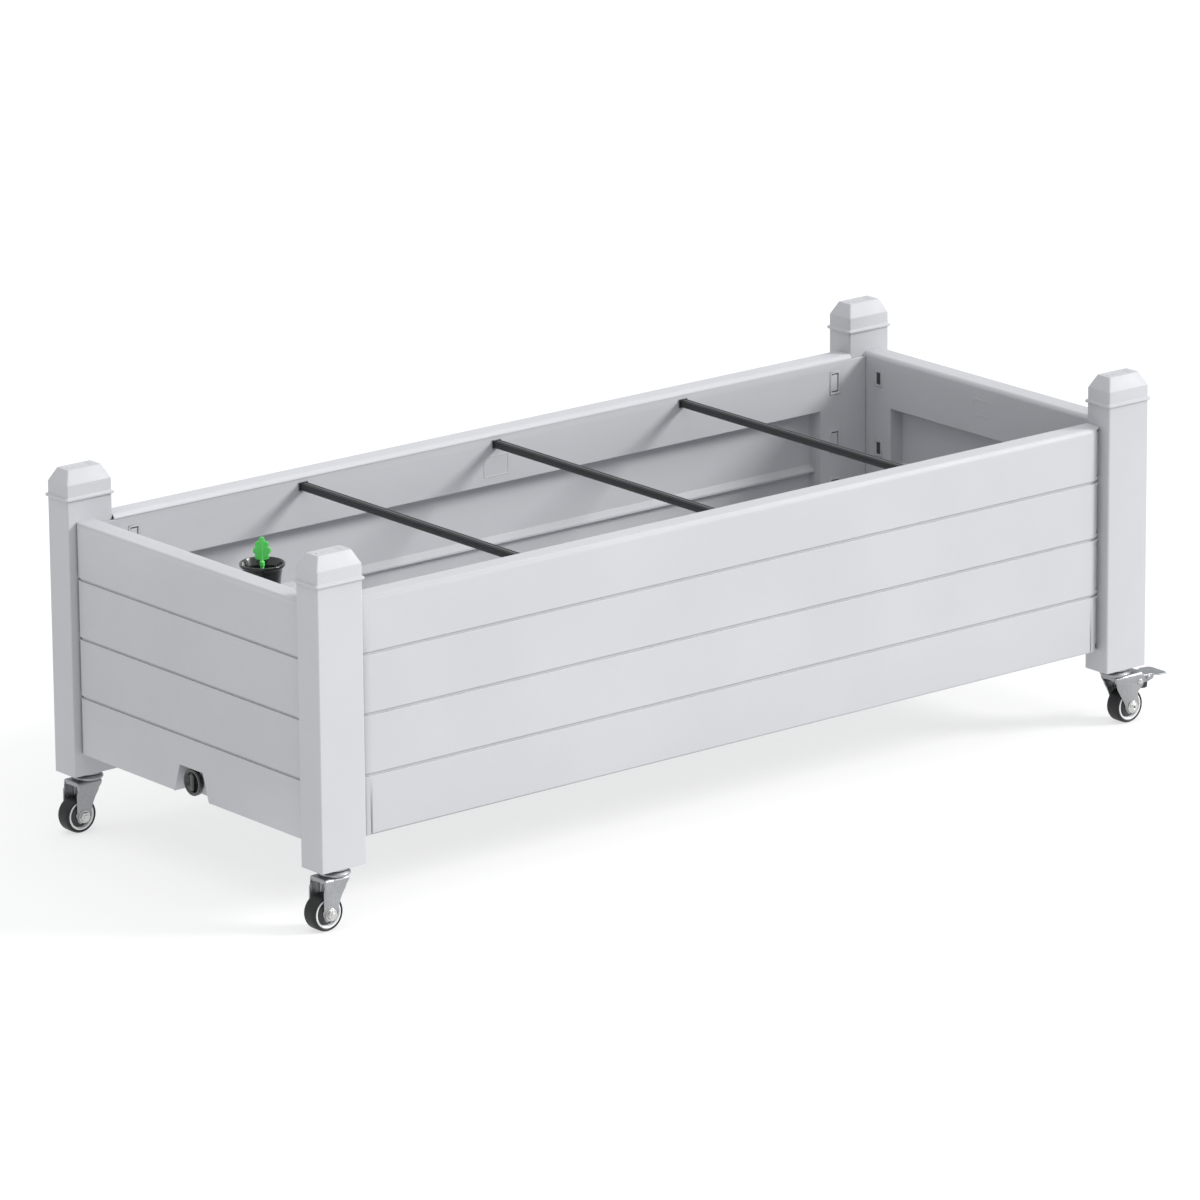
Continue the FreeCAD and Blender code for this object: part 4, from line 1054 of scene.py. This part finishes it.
def make_lip(name):
    """The lever's upper sheet as a grid, so that the rib and the rolled border are real shape."""
    columns, rows = 40, 28
    start, end, wide = 28.3, 83.8, 20.4
    bm = bmesh.new()
    grid = []
    for i in range(columns + 1):
        x = start + (end - start) * i / columns
        flare = min(1.0, max(0.0, (x - 58.0) / 9.0))
        half = LEVER_HALF - 0.1 + (wide - LEVER_HALF) * flare * flare * (3 - 2 * flare)
        round_off = max(0.0, (x - (end - 6.0)) / 6.0)
        half -= 6.0 * (1 - math.sqrt(max(0.0, 1 - round_off ** 2)))
        row = []
        for j in range(rows + 1):
            t = -1 + 2 * j / rows
            y = t * half
            rib = 0.9 * math.exp(-(y / 3.2) ** 2) * min(1.0, max(0.0, (x - 31.0) / 5.0)) * min(
                1.0, max(0.0, (76.0 - x) / 6.0))
            roll = 0.8 * max(0.0, abs(t) - 0.86) / 0.14 * flare
            row.append(bm.verts.new(Vector((x, y, lever_top(x) - 1.2 + rib - roll)) * MM))
        grid.append(row)
    for low, high in zip(grid, grid[1:]):
        for a, b, c, d in zip(low, low[1:], high[1:], high):
            bm.faces.new((a, d, c, b))
    lip = object_from(bm, name, 60.0)
    sheet = lip.modifiers.new("sheet", "SOLIDIFY")
    sheet.thickness = 1.8 * MM
    sheet.offset = -1.0
    return round_edges(lip, 0.0005, 2, 50.0)


def make_pad(name):
    """The brake's rubber shoe: a wedge with ribs on the face that meets the tyre."""
    half = LEVER_HALF - LEVER_SHEET - 0.3
    outline = filleted_loop([
        (39.7, 47.3, 0.8), (43.0, 46.8, 0.3), (43.4, 47.6, 0.3), (45.0, 47.5, 0.3), (45.4, 46.6, 0.3),
        (47.4, 46.4, 0.3), (47.8, 47.2, 0.3), (49.2, 47.1, 0.3), (50.8, 46.2, 0.8), (51.9, 57.0, 1.0),
        (49.9, 63.9, 0.8), (42.1, 63.9, 0.8), (40.1, 56.0, 1.0),
    ], 3)
    pad = swept_plate(name, outline, 2 * half, lambda u, v, d: (u, d - half, v))
    return round_edges(pad, 0.0004, 2)


def make_brake_pin(name):
    half, radius = 17.5, 2.5
    shaft = spun("pin_shaft", [
        (0, -half, 0), (radius, -half, 0.1), (radius, half, 0.1), (0, half, 0),
    ], 40, axis="Y")
    pieces = [shaft]
    for side in (-1, 1):
        pieces.append(make_rivet_head("head", 4.6, 2.8, side * FORK_HALF, side))
    return joined(name, pieces)


def add_caster(corner, sx, sy):
    prefix = "caster_" + corner + "_"
    kingpin = Vector(JOINTS["caster_swivel_" + corner]["pos_m"])
    turn = Matrix.Rotation(math.pi if sx < 0 else 0.0, 4, "Z")
    place = Matrix.Translation((kingpin.x, kingpin.y, 0)) @ turn
    wheel_place = place @ Matrix.Translation(Vector((AXLE_X, 0, WHEEL_R)) * MM)

    def put(obj, matrix, node, slot=None):
        obj.data.transform(matrix)
        place_piece(obj, body_of(prefix + node), slot or slot_of(prefix + node), prefix + node)

    put(make_fork(prefix + "fork_sheet", sx > 0), place, "fork")
    put(make_race(prefix + "race_housing"), place, "race")
    put(make_stem(prefix + "stem_flange"), place, "stem")
    put(make_axle(prefix + "axle_bolt"), wheel_place, "axle")
    tyre, rim, guard = make_wheel(prefix)
    put(tyre, wheel_place, "tyre")
    put(rim, wheel_place, "hub")
    put(guard, wheel_place, "hub", "basket_resin")
    if sx > 0:
        put(make_lever(prefix + "lever_sheet"), place, "brake_lever")
        put(make_pad(prefix + "shoe"), place, "brake_pad")
        pivot_place = place @ Matrix.Translation(Vector((PIVOT[0], 0, PIVOT[1])) * MM)
        put(make_brake_pin(prefix + "pivot"), pivot_place, "brake_pin")


# ------------------------------------------------------------------ put it together

MATERIALS = make_materials()
add_camera()
add_studio()
add_box()
add_caps()
add_tie_bars()
add_fill_tube()
add_float()
add_drain()
for corner_name, (side_x, side_y) in CORNERS.items():
    add_caster(corner_name, side_x, side_y)
